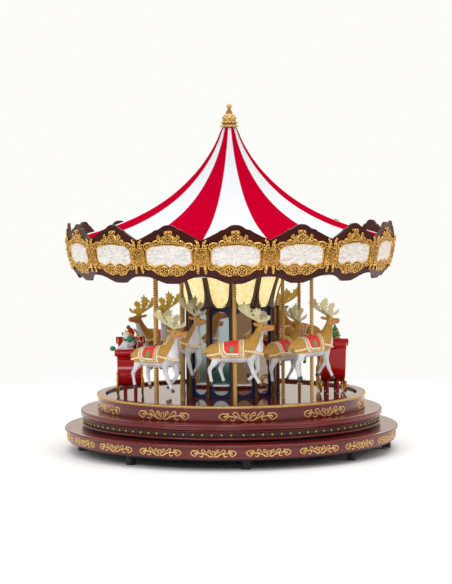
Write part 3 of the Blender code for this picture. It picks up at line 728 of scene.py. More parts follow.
# gold lines on one side of a rib: points from its middle, steps of the smooth curve, thickness
ribLines = [([(2.2, 35), (2.3, 26), (2.6, 18), (3.3, 11), (4.6, 6.4), (6.6, 3.4), (9.0, 1.8)], 5, 0.28),
            (curl((5.4, 2.5), 1.7, 60, -1.4), 2, 0.26),
            ([(0.2, 32), (0.7, 22), (1.4, 13), (2.6, 6.5), (2.4, 3.4), (1.0, 2.0)], 5, 0.24),
            (curl((3.3, 5.0), 1.0, 200, 1.2), 2, 0.22)]


def makeLantern():
    low, high = (corner.z for corner in box("lantern_glass"))
    foot, steps, rows = centre["lanternFoot"], 24, 26

    def radius(z):
        t = (z - low) / (high - low)
        return foot + (centre["lanternHead"] - foot) * (0.55 * t + 0.45 * t * t)

    glass = Shape()
    heights = [low + (high - low) * i / steps for i in range(steps + 1)]
    glass.lathe([(0, low), *[(radius(z), z) for z in heights], (0, high)])
    glow = Finish("lantern_glow", Roughness=0.4, Emission_Strength=0.72, Specular_IOR_Level=0.2)
    pebble = glow.cells(420, "SMOOTH_F1")
    tone = (pebble * 0.7 + glow.noise(260, 4) * 0.6).ramp(0.35, 0.85)
    glow.feed(Emission_Color=glow.mix(tone, (1.0, 0.88, 0.50), (0.90, 0.66, 0.22)),
              Base_Color=glow.mix(tone, (0.95, 0.86, 0.58), (0.75, 0.55, 0.22)))
    glow.bump(pebble, 0.6, 0.4)
    makePiece("lantern_panes", glass, glow, "rotor", ["lantern_glass"])

    # a rib stands at each pillar, with gold lines that curl at its foot
    ribs, lines = Shape(), Shape()
    for i in range(centre["sides"]):
        def wall(sideways, z, lift, i=i):
            r = radius(z) + lift
            return wallPoint(math.radians(i * 360 / centre["sides"]) + sideways / r, r, z)
        skin = []
        for k in range(rows + 1):
            t = (k / rows) ** 1.8
            z, half = low + (high - low) * t, between(ribHalf, t)
            skin.append([wall(half * share, z, lift) for share, lift in (
                (-1, 0), (-1, 0.7), (-0.6, 1.25), (0, 0.8), (0.6, 1.25), (1, 0.7), (1, 0))])
        ribs.grid(skin)
        for side in (-1, 1):
            for points, fine, thick in ribLines:
                lines.tube(smoothPath([wall(side * x, low + z, 1.15) for x, z in points], fine), thick, 6)
    footRing = ((-0.8, -0.25), (1.1, -0.25), (1.3, 0.1), (1.1, 0.5), (-0.8, 0.5))
    ribs.lathe([(foot + r, low + z) for r, z in footRing], 96, True)
    ribBrown = lacquer("rib_brown", (0.040, 0.020, 0.014), (0.018, 0.010, 0.008), (1, 1, 1), 0.3)
    makePiece("lantern_ribs", ribs, ribBrown, "rotor", ["lantern_frame"], sharp=25)
    ribGold = gilding("rib_gold", (0.42, 0.27, 0.13), (0.24, 0.14, 0.06), (0.1, 0.05, 0.02), 0.4, 0.7)
    makePiece("lantern_lines", lines, ribGold, "rotor")


rod = {"radius": 2.04, "groove": 0.7, "starts": 2, "pitch": 4.6, "around": 14, "rise": 0.46}


def makePoles():
    # twisted brass rod, two starts
    low, high = (corner.z for corner in box("pole_outer_front"))
    length = high - low
    levels = int(length / rod["rise"])
    rows = []
    for i in range(levels + 1):
        z, row = length * i / levels, []
        for k in range(rod["around"]):
            a = tau * k / rod["around"]
            ridge = 0.5 + 0.5 * math.cos(rod["starts"] * (a - tau * z / rod["pitch"]))
            row.append(wallPoint(a + math.pi / 2, rod["radius"] - rod["groove"] * (1 - ridge) ** 1.5, z))
        rows.append(row)
    shape = Shape()
    shape.grid(rows)
    mesh = shape.mesh("twisted_rod")
    brass = Finish("rod_brass", Metallic=0.5)
    turn = brass.maths("ARCTAN2", brass.axis("Y"), brass.axis("X"))
    twist = turn * rod["starts"] - brass.axis("Z") * (rod["starts"] * tau / rod["pitch"])
    # painted shade: the grooves of the twist are painted near black, the ridges keep the brass tone
    ridge = brass.maths("COSINE", twist).ramp(-0.6, 0.45)
    tone = brass.mottle(500, 3, (1.0, 0.66, 0.20), (0.88, 0.49, 0.11))
    brass.feed(Base_Color=brass.mix(ridge, (0.05, 0.014, 0.001), tone),
               Roughness=0.28 + 0.15 * brass.noise(900, 2))
    for name in riders:
        makePiece("rod_" + name, mesh, brass, "rider_" + name, ["pole_" + name],
                  polePlace(name, box("pole_" + name)[0].z), 180)


makeTurntable()
makeColumn()
makeLantern()
makePoles()
print("centre and rods done")


# Ceiling, rounding boards with their gilt frames, canopy and finial
# On a board, u runs sideways from its middle and v up from the plinth's top.

board = {"count": 16, "foot": 153.8, "head": 164.6, "low": 176.2, "crest": 231, "thick": 2.5, "rise": 25,
         "columns": 40, "rows": 10, "half": 33.4}
boardTop = [(0, 206), (3, 205.8), (5.5, 205), (7.8, 203.6), (9.6, 202.2), (11.6, 201.5), (14, 201.2),
            (15.2, 200.5), (16.5, 199.4), (25.4, 194.9), (31.5, 192.2), (33.4, 191.7)]
boardFoot = [(0, 150.2), (6.5, 150.3), (9, 150.8), (14, 152.6), (18.5, 154.6), (22.9, 156), (28, 157.1),
             (33.4, 157.5)]


def boardDistance(z):
    t = min(1, max(0, (z - board["low"]) / (board["crest"] - board["low"])))
    return board["head"] - (board["head"] - board["foot"]) * (1 - t) ** 2.5


def onBoard(u, v, w, turn, spread=False):
    # a point w off a board's face; spread widens u to the mitres
    z = v + board["rise"]
    d = boardDistance(z)
    run = boardDistance(z + 0.5) - boardDistance(z - 0.5)
    length = math.hypot(1, run)
    d, z = d + w / length, z - w * run / length
    if spread:
        u = u / board["half"] * d * math.tan(math.pi / board["count"])
    a = math.radians(turn * 360 / board["count"])
    return Vector((d * math.sin(a) + u * math.cos(a), -d * math.cos(a) + u * math.sin(a), z))


def onMitre(u, v, w, turn):
    # the same over the mitre between two boards
    spot = onBoard(0, v, w, turn + 0.5)
    radius = math.hypot(spot.x, spot.y) / math.cos(math.pi / board["count"]) - 0.8
    a = math.radians((turn + 0.5) * 360 / board["count"])
    return Vector((radius * math.sin(a) + u * math.cos(a), -radius * math.cos(a) + u * math.sin(a), spot.z))


def makeBoards():
    shell, columns, rows = Shape(), board["columns"], board["rows"]
    for i in range(board["count"]):
        strips = []
        for c in range(columns + 1):
            u = board["half"] * (2 * c / columns - 1)
            low, high = between(boardFoot, abs(u)), between(boardTop, abs(u))
            heights = [low + (high - low) * k / rows for k in range(rows + 1)]
            strips.append([onBoard(u, v, 0, i, True) for v in heights]
                          + [onBoard(u, v, -board["thick"], i, True) for v in heights[::-1]])
        shell.grid(strips, capped=False)
    bmesh.ops.remove_doubles(shell.bm, verts=shell.bm.verts, dist=1e-6)
    makePiece("boards_carved", shell, boardBrown, "rotor", ["rounding_boards"], sharp=30)


def makeGlass():
    # a pane in every board, cut small enough to follow its curve
    outline = [(c, d) for a, b, c, d in frameEdge]
    outline += [(-x, y) for x, y in outline[-2:0:-1]]
    pane = Shape()
    pane.grid([[(x * (1 - inset), 176 + (y - 176) * (1 - inset), lift) for x, y in outline]
               for lift, inset in ((0.05, 0), (0.4, 0), (0.55, 0.02))])
    bmesh.ops.triangulate(pane.bm, faces=pane.bm.faces)
    bmesh.ops.subdivide_edges(pane.bm, edges=[e for e in pane.bm.edges if e.calc_length() > 6 * mm], cuts=3)
    glass = Shape()
    glass.copies(pane, board["count"], lambda i, x, y, z: onBoard(x, y, z, i))

    # rays run out from the middle of each pane
    pearl = Finish("pearl_glass", Coat_Weight=0.25, Coat_Roughness=0.1, Specular_IOR_Level=0.4)
    x, y, z = (pearl.axis(name) for name in "XYZ")
    turn = pearl.maths("ARCTAN2", x, 0 - y)
    cell = pearl.maths("FRACT", turn * (board["count"] / tau) + 0.5) - 0.5
    across, up = cell * (2 * board["half"]), z - (176.5 + board["rise"])
    way = pearl.maths("ARCTAN2", up, across)
    spokes = pearl.node("ShaderNodeCombineXYZ", None,
                        {0: way * 5, 1: (across * across + up * up) ** 0.5 * 0.06, 2: turn})
    ray = pearl.node("ShaderNodeTexNoise", {"noise_dimensions": "3D"},
                     {"Vector": spokes, "Scale": 1.6, "Detail": 4})
    tint = pearl.node("ShaderNodeHueSaturation", None,
                      {"Saturation": 0.5, "Value": 1.25, "Color": pearl.cells(1100, out="Color")})
    pale = pearl.mix(ray.ramp(0.40, 0.58), (0.78, 0.69, 0.65), (1.0, 0.97, 0.92))
    dots = pearl.cells(1300).ramp(0.36, 0.2) * pearl.noise(260, 2).ramp(0.42, 0.55)
    pearl.feed(Base_Color=pearl.mix(dots * 0.7, pearl.mix(0.25, pale, tint), (0.34, 0.26, 0.22)),
               Roughness=0.2 + 0.3 * pearl.noise(500, 2))
    pearl.bump(pearl.cells(1100) + ray, 0.35, 0.25)
    makePiece("board_glass", glass, pearl, "rotor", sharp=50)


# the casting's outline and the edge of the glass, from the top middle round to the foot: (u, v, u, v)
frameEdge = [(0, 200.5, 0, 187.3), (3.5, 200.3, 1.7, 187.3), (4.3, 198.6, 2.6, 187.3),
             (3.6, 196.4, 3.5, 187.3), (6.1, 195.3, 4.7, 187.2), (7.9, 193.5, 6.1, 187.1),
             (9.6, 196, 7.3, 186.9), (11.4, 195.7, 8.5, 186.6), (11.9, 193.6, 9.6, 186.4),
             (11.4, 191.8, 11.1, 186.4), (14.3, 191.5, 12.5, 186.3), (16.2, 190.4, 14.3, 186.1),
             (17, 188.9, 16, 185.8), (19.5, 189.5, 17.8, 185.3), (22.6, 189.4, 19.5, 184.8),
             (24.8, 188, 21.1, 184.2), (25.8, 185.8, 22.4, 183.5), (25.2, 183.1, 22.8, 182.4),
             (24.1, 181.5, 22.8, 180.4), (24.2, 177.3, 22.8, 176.7), (24.2, 173.2, 22.8, 173.5),
             (24.2, 170.2, 22.8, 170.8), (25.6, 168.7, 22.1, 170.1), (26, 166.4, 20.4, 169.4),
             (24.8, 164.2, 18.7, 168.7), (21.9, 163.6, 16.9, 167.8), (18.2, 163.9, 15.3, 167.1),
             (15.3, 161.8, 13.6, 167), (13, 159.7, 11.7, 167.7), (11.1, 158.2, 9.6, 168.6),
             (6.7, 157.3, 7, 168.9), (3.6, 158.2, 4.4, 168.7), (1.3, 158.9, 2, 167.3), (0, 159.1, 0, 165.4)]
frameStrokes = [
    # crest
    ([(0, 196.4), (2.3, 195.8), (4.3, 194.1), (5.7, 191.6), (6.6, 188.4)], 0.95),
    ([(0, 194), (2, 193.4), (3.1, 191.6), (2.8, 189.6), (1.4, 189.2), (1, 190.8)], 0.65),
    ([(6.4, 190.4), (8, 191.7), (9.2, 193.6), (9.6, 195.2)], 0.9),
    ([(8.6, 188), (10, 190.4), (12.4, 191.2), (15, 190.2), (15.2, 188.2), (13.4, 187.6), (12.8, 189)], 0.85),
    ([(10.4, 192.2), (11, 193.8), (10.8, 195.2)], 0.7),
    # upper corner
    ([(15.2, 187.2), (17.2, 188.6), (19.8, 189), (22.8, 188.7), (24.8, 187.1), (25, 184.6), (23.4, 182.9),
      (20.9, 183.6), (19.7, 185.2), (20.8, 186.9), (22.5, 186.2)], 0.85),
    ([(13.8, 186.5), (16.6, 186.4), (18.8, 185.2), (20.6, 183.3)], 0.7),
    # lower corner
    ([(23.9, 170.4), (25.2, 168.6), (25.3, 166), (23.3, 164.4), (20.9, 164.7), (19.9, 166.4), (21.3, 167.8),
      (23, 167)], 0.85),
    ([(22.4, 169.8), (19.4, 168.4), (16.4, 166.8), (13.6, 165.9)], 0.8),
    ([(19.8, 164.7), (17, 163.8), (14.6, 161.8), (12.2, 159.4)], 0.85),
    ([(0, 166), (0.8, 164.6), (0.9, 162.4), (0, 160.2)], 0.7),
    # finials beside the joint
    ([(26.2, 184.9), (28.2, 184.3), (31, 184.6)], 0.95),
    ([(27.6, 185.4), (29.6, 187.2), (29.4, 189.4), (28.4, 191)], 1.4),
    ([(30.8, 185), (31, 187), (30.2, 188.6)], 0.8),
    ([(29.6, 168.2), (27.8, 167), (26.8, 165.8)], 0.9),
    ([(28.8, 167.6), (28.8, 165.4), (28.2, 163.4)], 1.4),
    ([(26.6, 162.9), (29.4, 162.7)], 1.15),
    ([(27, 161.2), (28.8, 160.8)], 0.95)]
# (u, v, angle, length, width)
frameLeaves = [(0.4, 188.2, 78, 4.6, 1.7), (1.6, 188.3, 52, 3.6, 1.4), (4, 188.2, 68, 3.8, 1.5),
               (7.4, 188, 80, 3.8, 1.5), (7.2, 191, 45, 3, 1.6), (9.4, 192.4, 120, 3, 1.4),
               (10.8, 187.6, 15, 3.2, 1.4), (16.2, 186.9, 60, 2.2, 1.3), (17.4, 187.2, 20, 2.6, 1.3),
               (21.8, 184.9, 30, 2, 1.4), (12.6, 165.8, 200, 2.4, 1.2), (14.8, 163.8, 160, 3.2, 1.5),
               (17.6, 165.6, 170, 3, 1.4), (19.4, 167, 200, 2.6, 1.2), (12.6, 161, 140, 2.4, 1.2),
               (22.4, 165.6, 60, 2, 1.3), (28.8, 186, 150, 3.4, 1.6), (29.6, 188, 60, 2.6, 1.5),
               (28.8, 189.4, 110, 2.6, 1.6), (28.6, 166.4, 230, 2.8, 1.4)]
# (u, v, radius)
frameBeads = [(1.8, 199, 1.35), (0.7, 197.5, 0.9), (2.9, 197.4, 0.75), (9.5, 195.9, 1.1), (10.9, 194.9, 0.8),
              (13.2, 189.4, 0.8), (21.9, 185.4, 0.85), (22, 166.4, 0.85), (27.9, 161.3, 1.25),
              (28, 191.4, 1.1), (30.2, 190.2, 0.8), (1.6, 192, 0.7)]


def rosette(shape, u, v, radius):
    # a round flower in relief inside a curled leaf
    for k in range(5):
        a = tau * k / 5 + 0.3
        leaf(shape, (u + 0.5 * math.cos(a), v + 0.5 * math.sin(a)), math.degrees(a), radius * 0.66,
             radius * 0.5, 1)
    shape.ball((u, v, 0.6), 0.85, 6, 5)
    reliefStroke(shape, curl((u, v), radius, 250, 1.05, 15, 0.86), 0.8, 1, 1, taper=False)
    for k in range(8):
        a = tau * (k + 0.5) / 8
        leaf(shape, (u + radius * 0.62 * math.cos(a), v + radius * 0.62 * math.sin(a)), math.degrees(a) + 50,
             1.5, 0.9, 0.9)


def boardFrame():
    # the gilt casting of one board, mirrored about its middle: leaves and scrolls on a solid ground
    relief = Shape()
    dice = random.Random(7)
    sprigs = list(frameLeaves)
    for outerU, outerV, innerU, innerV in frameEdge[:15] + frameEdge[23:]:
        for k in range(2):
            t = 0.2 + 0.6 * dice.random()
            u, v = outerU + (innerU - outerU) * t, outerV + (innerV - outerV) * t
            sprigs.append((u, v, 360 * dice.random(), 1.5 + dice.random(), 1 + 0.4 * dice.random()))
    for side in (-1, 1):
        for points, thick in frameStrokes:
            reliefStroke(relief, [(side * u, v) for u, v in points], thick, 0.95)
        for u, v, angle, length, wide in sprigs:
            leaf(relief, (u, v), angle, length, wide, 0.9, side)
        for u, v, r in frameBeads:
            relief.ball((side * u, v, 0.2), r, 6, 5)
        rosette(relief, side * 5.8, 162.9, 4.5)
    shape = Shape()
    shape.copies(relief, 1, lambda i, x, y, z: Vector((x, y, z + 0.8)))
    edge = frameEdge + [(-a, b, -c, d) for a, b, c, d in frameEdge[-2:0:-1]]
    made = shape.grid([[(a + (c - a) * t, b + (d - b) * t, lift)
                        for t, lift in ((0, 0), (0.02, 0.35), (0.3, 0.6), (0.75, 0.6), (0.98, 0.4), (1, 0))]
                       for a, b, c, d in edge + edge[:1]], capped=False)
    bmesh.ops.remove_doubles(shape.bm, verts=made[0] + made[-1], dist=1e-7)
    # a plain bevel holds the glass
    inner = [(c, d, 0.45) for a, b, c, d in edge]
    for start, end in zip(inner, inner[1:] + inner[:1]):
        shape.tube([start, end], 0.5, 5)
    return shape


def jointMedal():
    # a squarish pad over the mitre, covered with a flower, four curls and buds
    shape, relief = Shape(), Shape()
    wide, tall, power, middle = 7.5, 9.2, 3.4, 175.7
    rows = []
    for lift, scale in ((-1.6, 0.97), (0.3, 1), (0.9, 0.97), (1.1, 0.9), (1.3, 0.6), (1.4, 0.3)):
        row = []
        for k in range(40):
            c, s = math.cos(tau * k / 40), math.sin(tau * k / 40)
            r = scale / (abs(c) ** power + abs(s) ** power) ** (1 / power)
            row.append((wide * r * c, middle + tall * r * s, lift))
        rows.append(row)
    shape.grid(rows + [[(0, middle, 1.45)]])
    dice = random.Random(5)
    for k in range(6):
        a = tau * k / 6
        leaf(relief, (0.4 * math.cos(a), middle + 0.4 * math.sin(a)), math.degrees(a), 2.3, 1.5, 0.9)
    relief.ball((0, middle, 0.5), 0.7, 6, 5)
    for x, y in ((-1, -1), (-1, 1), (1, -1), (1, 1)):
        reliefStroke(relief, [(x * a, middle + y * b) for a, b in (
            (0.4, 3.4), (2.4, 2.9), (4.6, 3.6), (5.2, 5.4), (4, 6.6), (2.4, 6), (2.6, 4.8))], 0.6)
        for k in range(9):
            leaf(relief, (x * (0.8 + 5 * dice.random()), middle + y * (0.8 + 6.4 * dice.random())),
                 360 * dice.random(), 1.4 + 0.8 * dice.random(), 1.1, 0.8)
    for y in (-6.6, 6.6, -4.6, 4.6):
        relief.ball((0, middle + y, 0), (1, 1, 0.9), 6, 5)
    for x in (-5.4, 5.4):
        relief.ball((x, middle, 0), (0.9, 1.3, 0.9), 6, 5)
    shape.copies(relief, 1, lambda i, x, y, z: Vector((x, y, z + 1.3)))
    return shape


def gildBoards():
    frames, medals = Shape(), Shape()
    frames.copies(boardFrame(), board["count"], lambda i, x, y, z: onBoard(x, y, z + 0.1, i))
    makePiece("board_frames", frames, shadedGilt, "rotor", sharp=60)
    medals.copies(jointMedal(), board["count"], lambda i, x, y, z: onMitre(x, y, z, i))
    # gilt with painted highlights on its crests and painted shade in its hollows
    medalShadedGilt = gilding("medal_gold", (0.98, 0.62, 0.19), (0.46, 0.21, 0.030), (0.04, 0.012, 0.001), 0.19, 0.75,
                      800)
    makePiece("joint_medals", medals, medalShadedGilt, "rotor", sharp=60)


canopy = {"seam": 0.32, "thick": 1.4, "steps": 256}
# radius and height from the finial down to the rim
canopyCurve = [(6.8, 326.4), (8.6, 324), (12.9, 313.7), (18.3, 303.7), (24.2, 294.6), (31, 285.6),
               (38.4, 277.4), (47, 268.9), (56, 261.2), (65, 254.4), (78, 246.2), (91.6, 239), (105, 233),
               (118, 228), (131, 224), (144, 220.3), (152.5, 217.8), (160.8, 215.1)]


def makeCanopy():
    outer = [(p.x, p.y) for p in smoothPath(canopyCurve[::-1], 3)]
    inner = [(max(0.5, r - 0.6), z - canopy["thick"]) for r, z in outer[::-3]]
    shape = Shape()
    shape.lathe(outer + inner, canopy["steps"], closed=True)
    satin = Finish("canopy_satin", Specular_IOR_Level=0.0)
    x, y = satin.axis("X"), satin.axis("Y")
    stripes = board["count"] / 2
    beat = satin.maths("COSINE", satin.maths("ARCTAN2", x, 0 - y) * stripes)
    seam = satin.maths("ABSOLUTE", beat) * (x * x + y * y) ** 0.5 / stripes
    line = 1 - seam.ramp(0.4 * canopy["seam"], 1.6 * canopy["seam"])
    weave = satin.noise(1500, 2)
    red = satin.mottle(18, 4, (0.47, 0.0, 0.022), (0.42, 0.0, 0.016))
    white = satin.mottle(22, 4, (0.70, 0.715, 0.74), (0.67, 0.695, 0.73))
    satin.feed(Base_Color=satin.mix(line * 0.55, satin.mix(beat > 0, red, white), (0.20, 0.04, 0.05)),
               Roughness=0.42 + 0.12 * weave)
    satin.bump(weave * 0.25 - line * 2, 0.18, 0.25)
    makePiece("canopy_skin", shape, satin, "rotor", ["canopy"], sharp=60)

    under = Finish("ceiling_paint", Roughness=0.4)
    under.bump(under.noise(300), 0.1, 0.1)
    under.feed(Base_Color=under.mottle(30, 4, (0.60, 0.57, 0.56), (0.50, 0.47, 0.47)))
    paintNode("ceiling", under)


# the finial's profile from its foot up to the neck under the ball
finialProfile = [(0, 0), (9.2, 0), (9.4, 0.6), (9.4, 1.6), (8.8, 2.1), (7.4, 2.4), (7.1, 3.4), (7.3, 3.9),
                 (7, 5.4), (6.6, 6.6), (6.8, 8.2), (6.4, 10.2), (5.3, 11.9), (4.1, 13.1), (3.4, 13.9),
                 (3, 14.3), (3.5, 14.8), (3.5, 15.4), (2.6, 15.9), (2.8, 16.9), (2.8, 17.4), (2.1, 17.8),
                 (1.4, 18.5), (1.3, 19.3)]


def makeFinial():
    low, high = (corner.z for corner in box("finial"))
    ballHeight, ballRadius = high - low - 2.6, 2.75
    ball = [(ballRadius * math.sin(a), ballHeight - ballRadius * math.cos(a))
            for a in (0.6, 1.0, 1.4, 1.8, 2.2, 2.6, 2.9)]
    shape = Shape()
    shape.lathe(finialProfile + ball + [(0, ballHeight + ballRadius)], 64,
                place=Matrix.Translation((0, 0, low)))
    for k in range(12):
        # scalloped flange
        shape.ball((0, -0.3, 0), (2.05, 1.5, 1), 10, 8, along(k * 30, 7.2, low + 4.9))
    for k in range(8):
        # round bosses on the bell, with drops between them
        spot = outwards(k * 45, 6.2, low + 9.3)
        shape.ball((0, 0, 0.2), (1.55, 1.55, 0.95), 12, 8, spot)
        shape.ball((0, 0, 0.9), (0.8, 0.8, 0.6), 8, 6, spot)
        shape.ball((0, 0, 0.2), (0.7, 1.9, 0.7), 8, 6, outwards(k * 45 + 22.5, 5.6, low + 10.6))
    for k in range(24):
        shape.ball((0, 0, 0), 0.62, 6, 5, along(k * 15, 9.2, low + 1.1))
    makePiece("finial_cast", shape, finialGilt, "rotor", ["finial"], sharp=50)


makeBoards()
makeGlass()
gildBoards()
makeCanopy()
makeFinial()
print("roof done")


# Reindeer: one sculpted figure shared by the ten stations
# Local x points forward from the rod, heights count from the turntable at mid stroke.

herd = {"voxel": 0.62, "smooth": 5, "keep": 0.35, "antlerVoxel": 0.42, "antlerSmooth": 3, "antlerKeep": 0.34,
        "lean": 16, "depth": 9,
        "turns": {"outer_front_left": 3, "inner_front_right": 8, "inner_front_left": -14}}
# the trunk's sections: (x, bottom, top, half width)
deerTrunk = [(-27.4, 50.2, 55, 1.2), (-26.6, 48.4, 57.2, 3.4), (-24.4, 46.4, 59.2, 5.8),
             (-20.5, 44.6, 61, 7.6), (-15.5, 43.6, 62, 8.3), (-9, 42.9, 62.4, 8.5), (-2, 42.4, 63.4, 8.6),
             (5, 42.2, 64.4, 8.4), (10.5, 42.4, 65, 8.2), (15.5, 43.2, 66.4, 7.9), (20, 45.2, 67.6, 7),
             (23.6, 48, 67, 5.5), (26.2, 51, 64, 3.4), (27.2, 53, 61, 1.4)]
# the head, broad at the brow and narrow at the muzzle
deerHead = [(22.2, 76.4, 79, 0.8), (22.9, 74.6, 80.4, 2.2), (24.2, 72.4, 81.1, 3.2), (26.2, 70.9, 80.8, 3.4),
            (28.4, 71, 79.9, 3.2), (30.8, 72.1, 79, 2.6), (33.4, 72.7, 78.5, 2.2), (35.8, 72.8, 78.5, 2.3),
            (37.4, 73.3, 78.3, 2), (38.2, 74.6, 77.4, 1.1)]
# limbs as points of (x, y, z, radius): near and far hind leg, near and far front leg, then the neck
deerLimbs = [
    [(-15.5, -3.6, 53.5, 5.6), (-17.2, -4.2, 48.5, 5.2), (-19.6, -4.6, 43.5, 3.6), (-22.3, -4.6, 39.6, 2.3),
     (-24.3, -4.6, 36.6, 2.25), (-23.9, -4.6, 32, 1.7), (-23.1, -4.6, 27.4, 1.6), (-22.6, -4.6, 24.6, 2)],
    [(-13.5, 3.6, 53, 5.6), (-12.6, 4.2, 47.6, 4.8), (-11.9, 4.6, 42.6, 3.3), (-12.9, 4.6, 38.8, 2.2),
     (-13.8, 4.6, 36, 2.2), (-12.6, 4.6, 31, 1.65), (-11.4, 4.6, 27, 1.6), (-10.9, 4.6, 24.4, 1.95)],
    [(16.5, -3.4, 53, 5), (15.6, -4.2, 47, 4.2), (15.2, -4.5, 42, 3.1), (16.2, -4.6, 37, 2.3),
     (18, -4.6, 32.6, 2.35), (20.2, -4.6, 28.2, 1.75), (22.2, -4.6, 24.6, 1.75), (23.4, -4.6, 22.8, 2.1)],
    [(18.5, 3.4, 52.5, 4.8), (20.3, 4.2, 46.5, 3.8), (21.6, 4.5, 41, 2.8), (22.4, 4.6, 36.4, 2.2),
     (20.6, 4.6, 32.6, 1.9), (17, 4.6, 28.8, 1.6), (14.2, 4.6, 26, 1.65), (13.2, 4.6, 25, 1.9)],
    [(18.2, 0, 59, 8.7), (20.4, 0, 63.5, 7), (22.2, 0, 67.6, 5.5), (23.7, 0, 71.4, 4.4), (24.9, 0, 74.8, 3.8),
     (25.6, 0, 77.4, 3.2)]]
deerHooves = [(-22.3, -4.6, 22.6, 8), (-10.4, 4.6, 22.3, -14), (24.4, -4.6, 21.2, -38), (12.2, 4.6, 23.6, 55)]


def sculpt(name, shape, voxel, rounds, keep):
    # overlapping solids become one smooth skin
    rough = bpy.data.objects.new(name, shape.mesh(name + "_rough"))
    bpy.context.scene.collection.objects.link(rough)
    remesh = rough.modifiers.new("skin", "REMESH")
    remesh.mode, remesh.voxel_size = "VOXEL", voxel * mm
    soften = rough.modifiers.new("soften", "SMOOTH")
    soften.factor, soften.iterations = 0.5, rounds
    rough.modifiers.new("thin", "DECIMATE").ratio = keep
    mesh = bpy.data.meshes.new_from_object(rough.evaluated_get(bpy.context.evaluated_depsgraph_get()))
    mesh.name = name
    bpy.data.objects.remove(rough)
    return mesh


def sections(shape, rows, points=16):
    # a body lofted along x
    shape.grid([[(x, wide * math.sin(tau * k / points),
                  (low + high) / 2 - (high - low) / 2 * math.cos(tau * k / points)) for k in range(points)]
                for x, low, high, wide in rows])


def deerBody():
    shape = Shape()
    sections(shape, deerTrunk)
    sections(shape, deerHead, 14)
    shape.ball((16, 0, 54.5), (8.2, 8.1, 9.2), 20, 14)
    shape.ball((-17.5, 0, 53), (8, 8.5, 8), 20, 14)
    for points in deerLimbs:
        path = smoothPath(points, 4)
        flat = 0.8 if points is deerLimbs[-1] else 0.86
        shape.tube([p.xyz for p in path], [p.w for p in path], 12, flat, up=(0, 1, 0.001))
    for side in (-1, 1):
        shape.ball((26, side * 2.6, 78.6), (1.9, 1, 1), 8, 6)
        shape.ball((24.6, side * 2, 81.2), 1.55, 8, 6)
        shape.tube([(23.6, side * 2.4, 78.4), (21.8, side * 3.7, 78.7), (20, side * 4.8, 79.1),
                    (18.2, side * 5.8, 79.7), (17.4, side * 6.2, 80)], [1.2, 1.9, 1.8, 1, 0.4], 10, 0.5,
                    up=(0.3, -side, 0))
    shape.tube([(-24, 0, 55.5), (-27.5, 0, 54.2), (-30, 0, 52.4), (-31, 0, 50.9)], [3, 2.3, 1.6, 0.5], 10)
    return sculpt("deer_skin", shape, herd["voxel"], herd["smooth"], herd["keep"])


# a broad beam sweeps back to a palm of leaf-like tines, a second palm stands over the brow, one tine points
# forward; points of (x, z, radius)
antlerBeams = [
    [(24.4, 80.6, 1.3), (22.4, 83, 1.5), (19, 84.9, 1.5), (15.6, 87.2, 1.7), (12.6, 90.2, 2.9),
     (10.9, 93.6, 3.5),
     (10, 97, 2.7), (9.6, 100.2, 1.3), (9.5, 102.2, 0.42)],
    [(12.6, 89.8, 1.8), (8.6, 92.4, 2), (5.4, 94.6, 1.5), (3, 96.2, 0.5)],
    [(10.8, 92.8, 1.8), (7.4, 95.8, 1.7), (6.4, 98.2, 1), (6.1, 99.6, 0.42)],
    [(11.2, 93.4, 1.8), (12.8, 96.6, 1.6), (13.5, 98.8, 1), (13.6, 100, 0.42)],
    [(12.6, 91.4, 1.5), (15, 94, 1), (16.4, 96, 0.42)],
    [(14.6, 88.6, 1.3), (16.4, 90.4, 0.9), (17, 92.2, 0.42)],
    [(24.4, 81.4, 1.5), (22.6, 84.6, 1.9), (21.4, 87.6, 2.7), (21.1, 90.6, 3.3), (21.3, 93.4, 2.2),
     (21.4, 95.8, 0.6)],
    [(20.8, 89.6, 2), (18.6, 92.4, 1.5), (18, 94.4, 0.6)],
    [(21.4, 90, 2), (23.8, 93, 1.5), (24.6, 95, 0.6)],
    [(21.6, 88.8, 1.9), (24.4, 90.4, 1.4), (26.2, 92.2, 0.6)],
    [(20.6, 88.4, 1.4), (18.2, 90.2, 1), (17.2, 91.8, 0.42)],
    [(24.6, 81.6, 1.4), (27.4, 82.7, 1.4), (30.2, 83.4, 1.45), (32.4, 84.4, 1.3), (34.2, 85, 0.5)],
    [(30.4, 83.8, 1.3), (31.9, 86.4, 1.2), (32.4, 88.4, 0.5)],
    [(31.6, 84.4, 1.1), (33.6, 86.6, 0.9), (34.2, 88, 0.42)],
    [(27.6, 83, 1.1), (28.4, 85.4, 0.9), (28, 87.2, 0.42)]]


def antlerPair():
    shape, root = Shape(), 80.6
    for side in (-1, 1):
        lean = Matrix.Rotation(math.radians(-side * herd["lean"]), 4, "X")
        place = Matrix.Translation((0, side * 2.4, root)) @ lean @ Matrix.Translation((0, 0, -root))
        for beam in antlerBeams:
            bow = [(x, side * 0.022 * max(0, z - 81) ** 1.4, z) for x, z, r in beam]
            shape.tube(bow, [r for x, z, r in beam], 10, 0.40, up=(0, 1, 0), place=place)
    return sculpt("antlers", shape, herd["antlerVoxel"], herd["antlerSmooth"], herd["antlerKeep"])


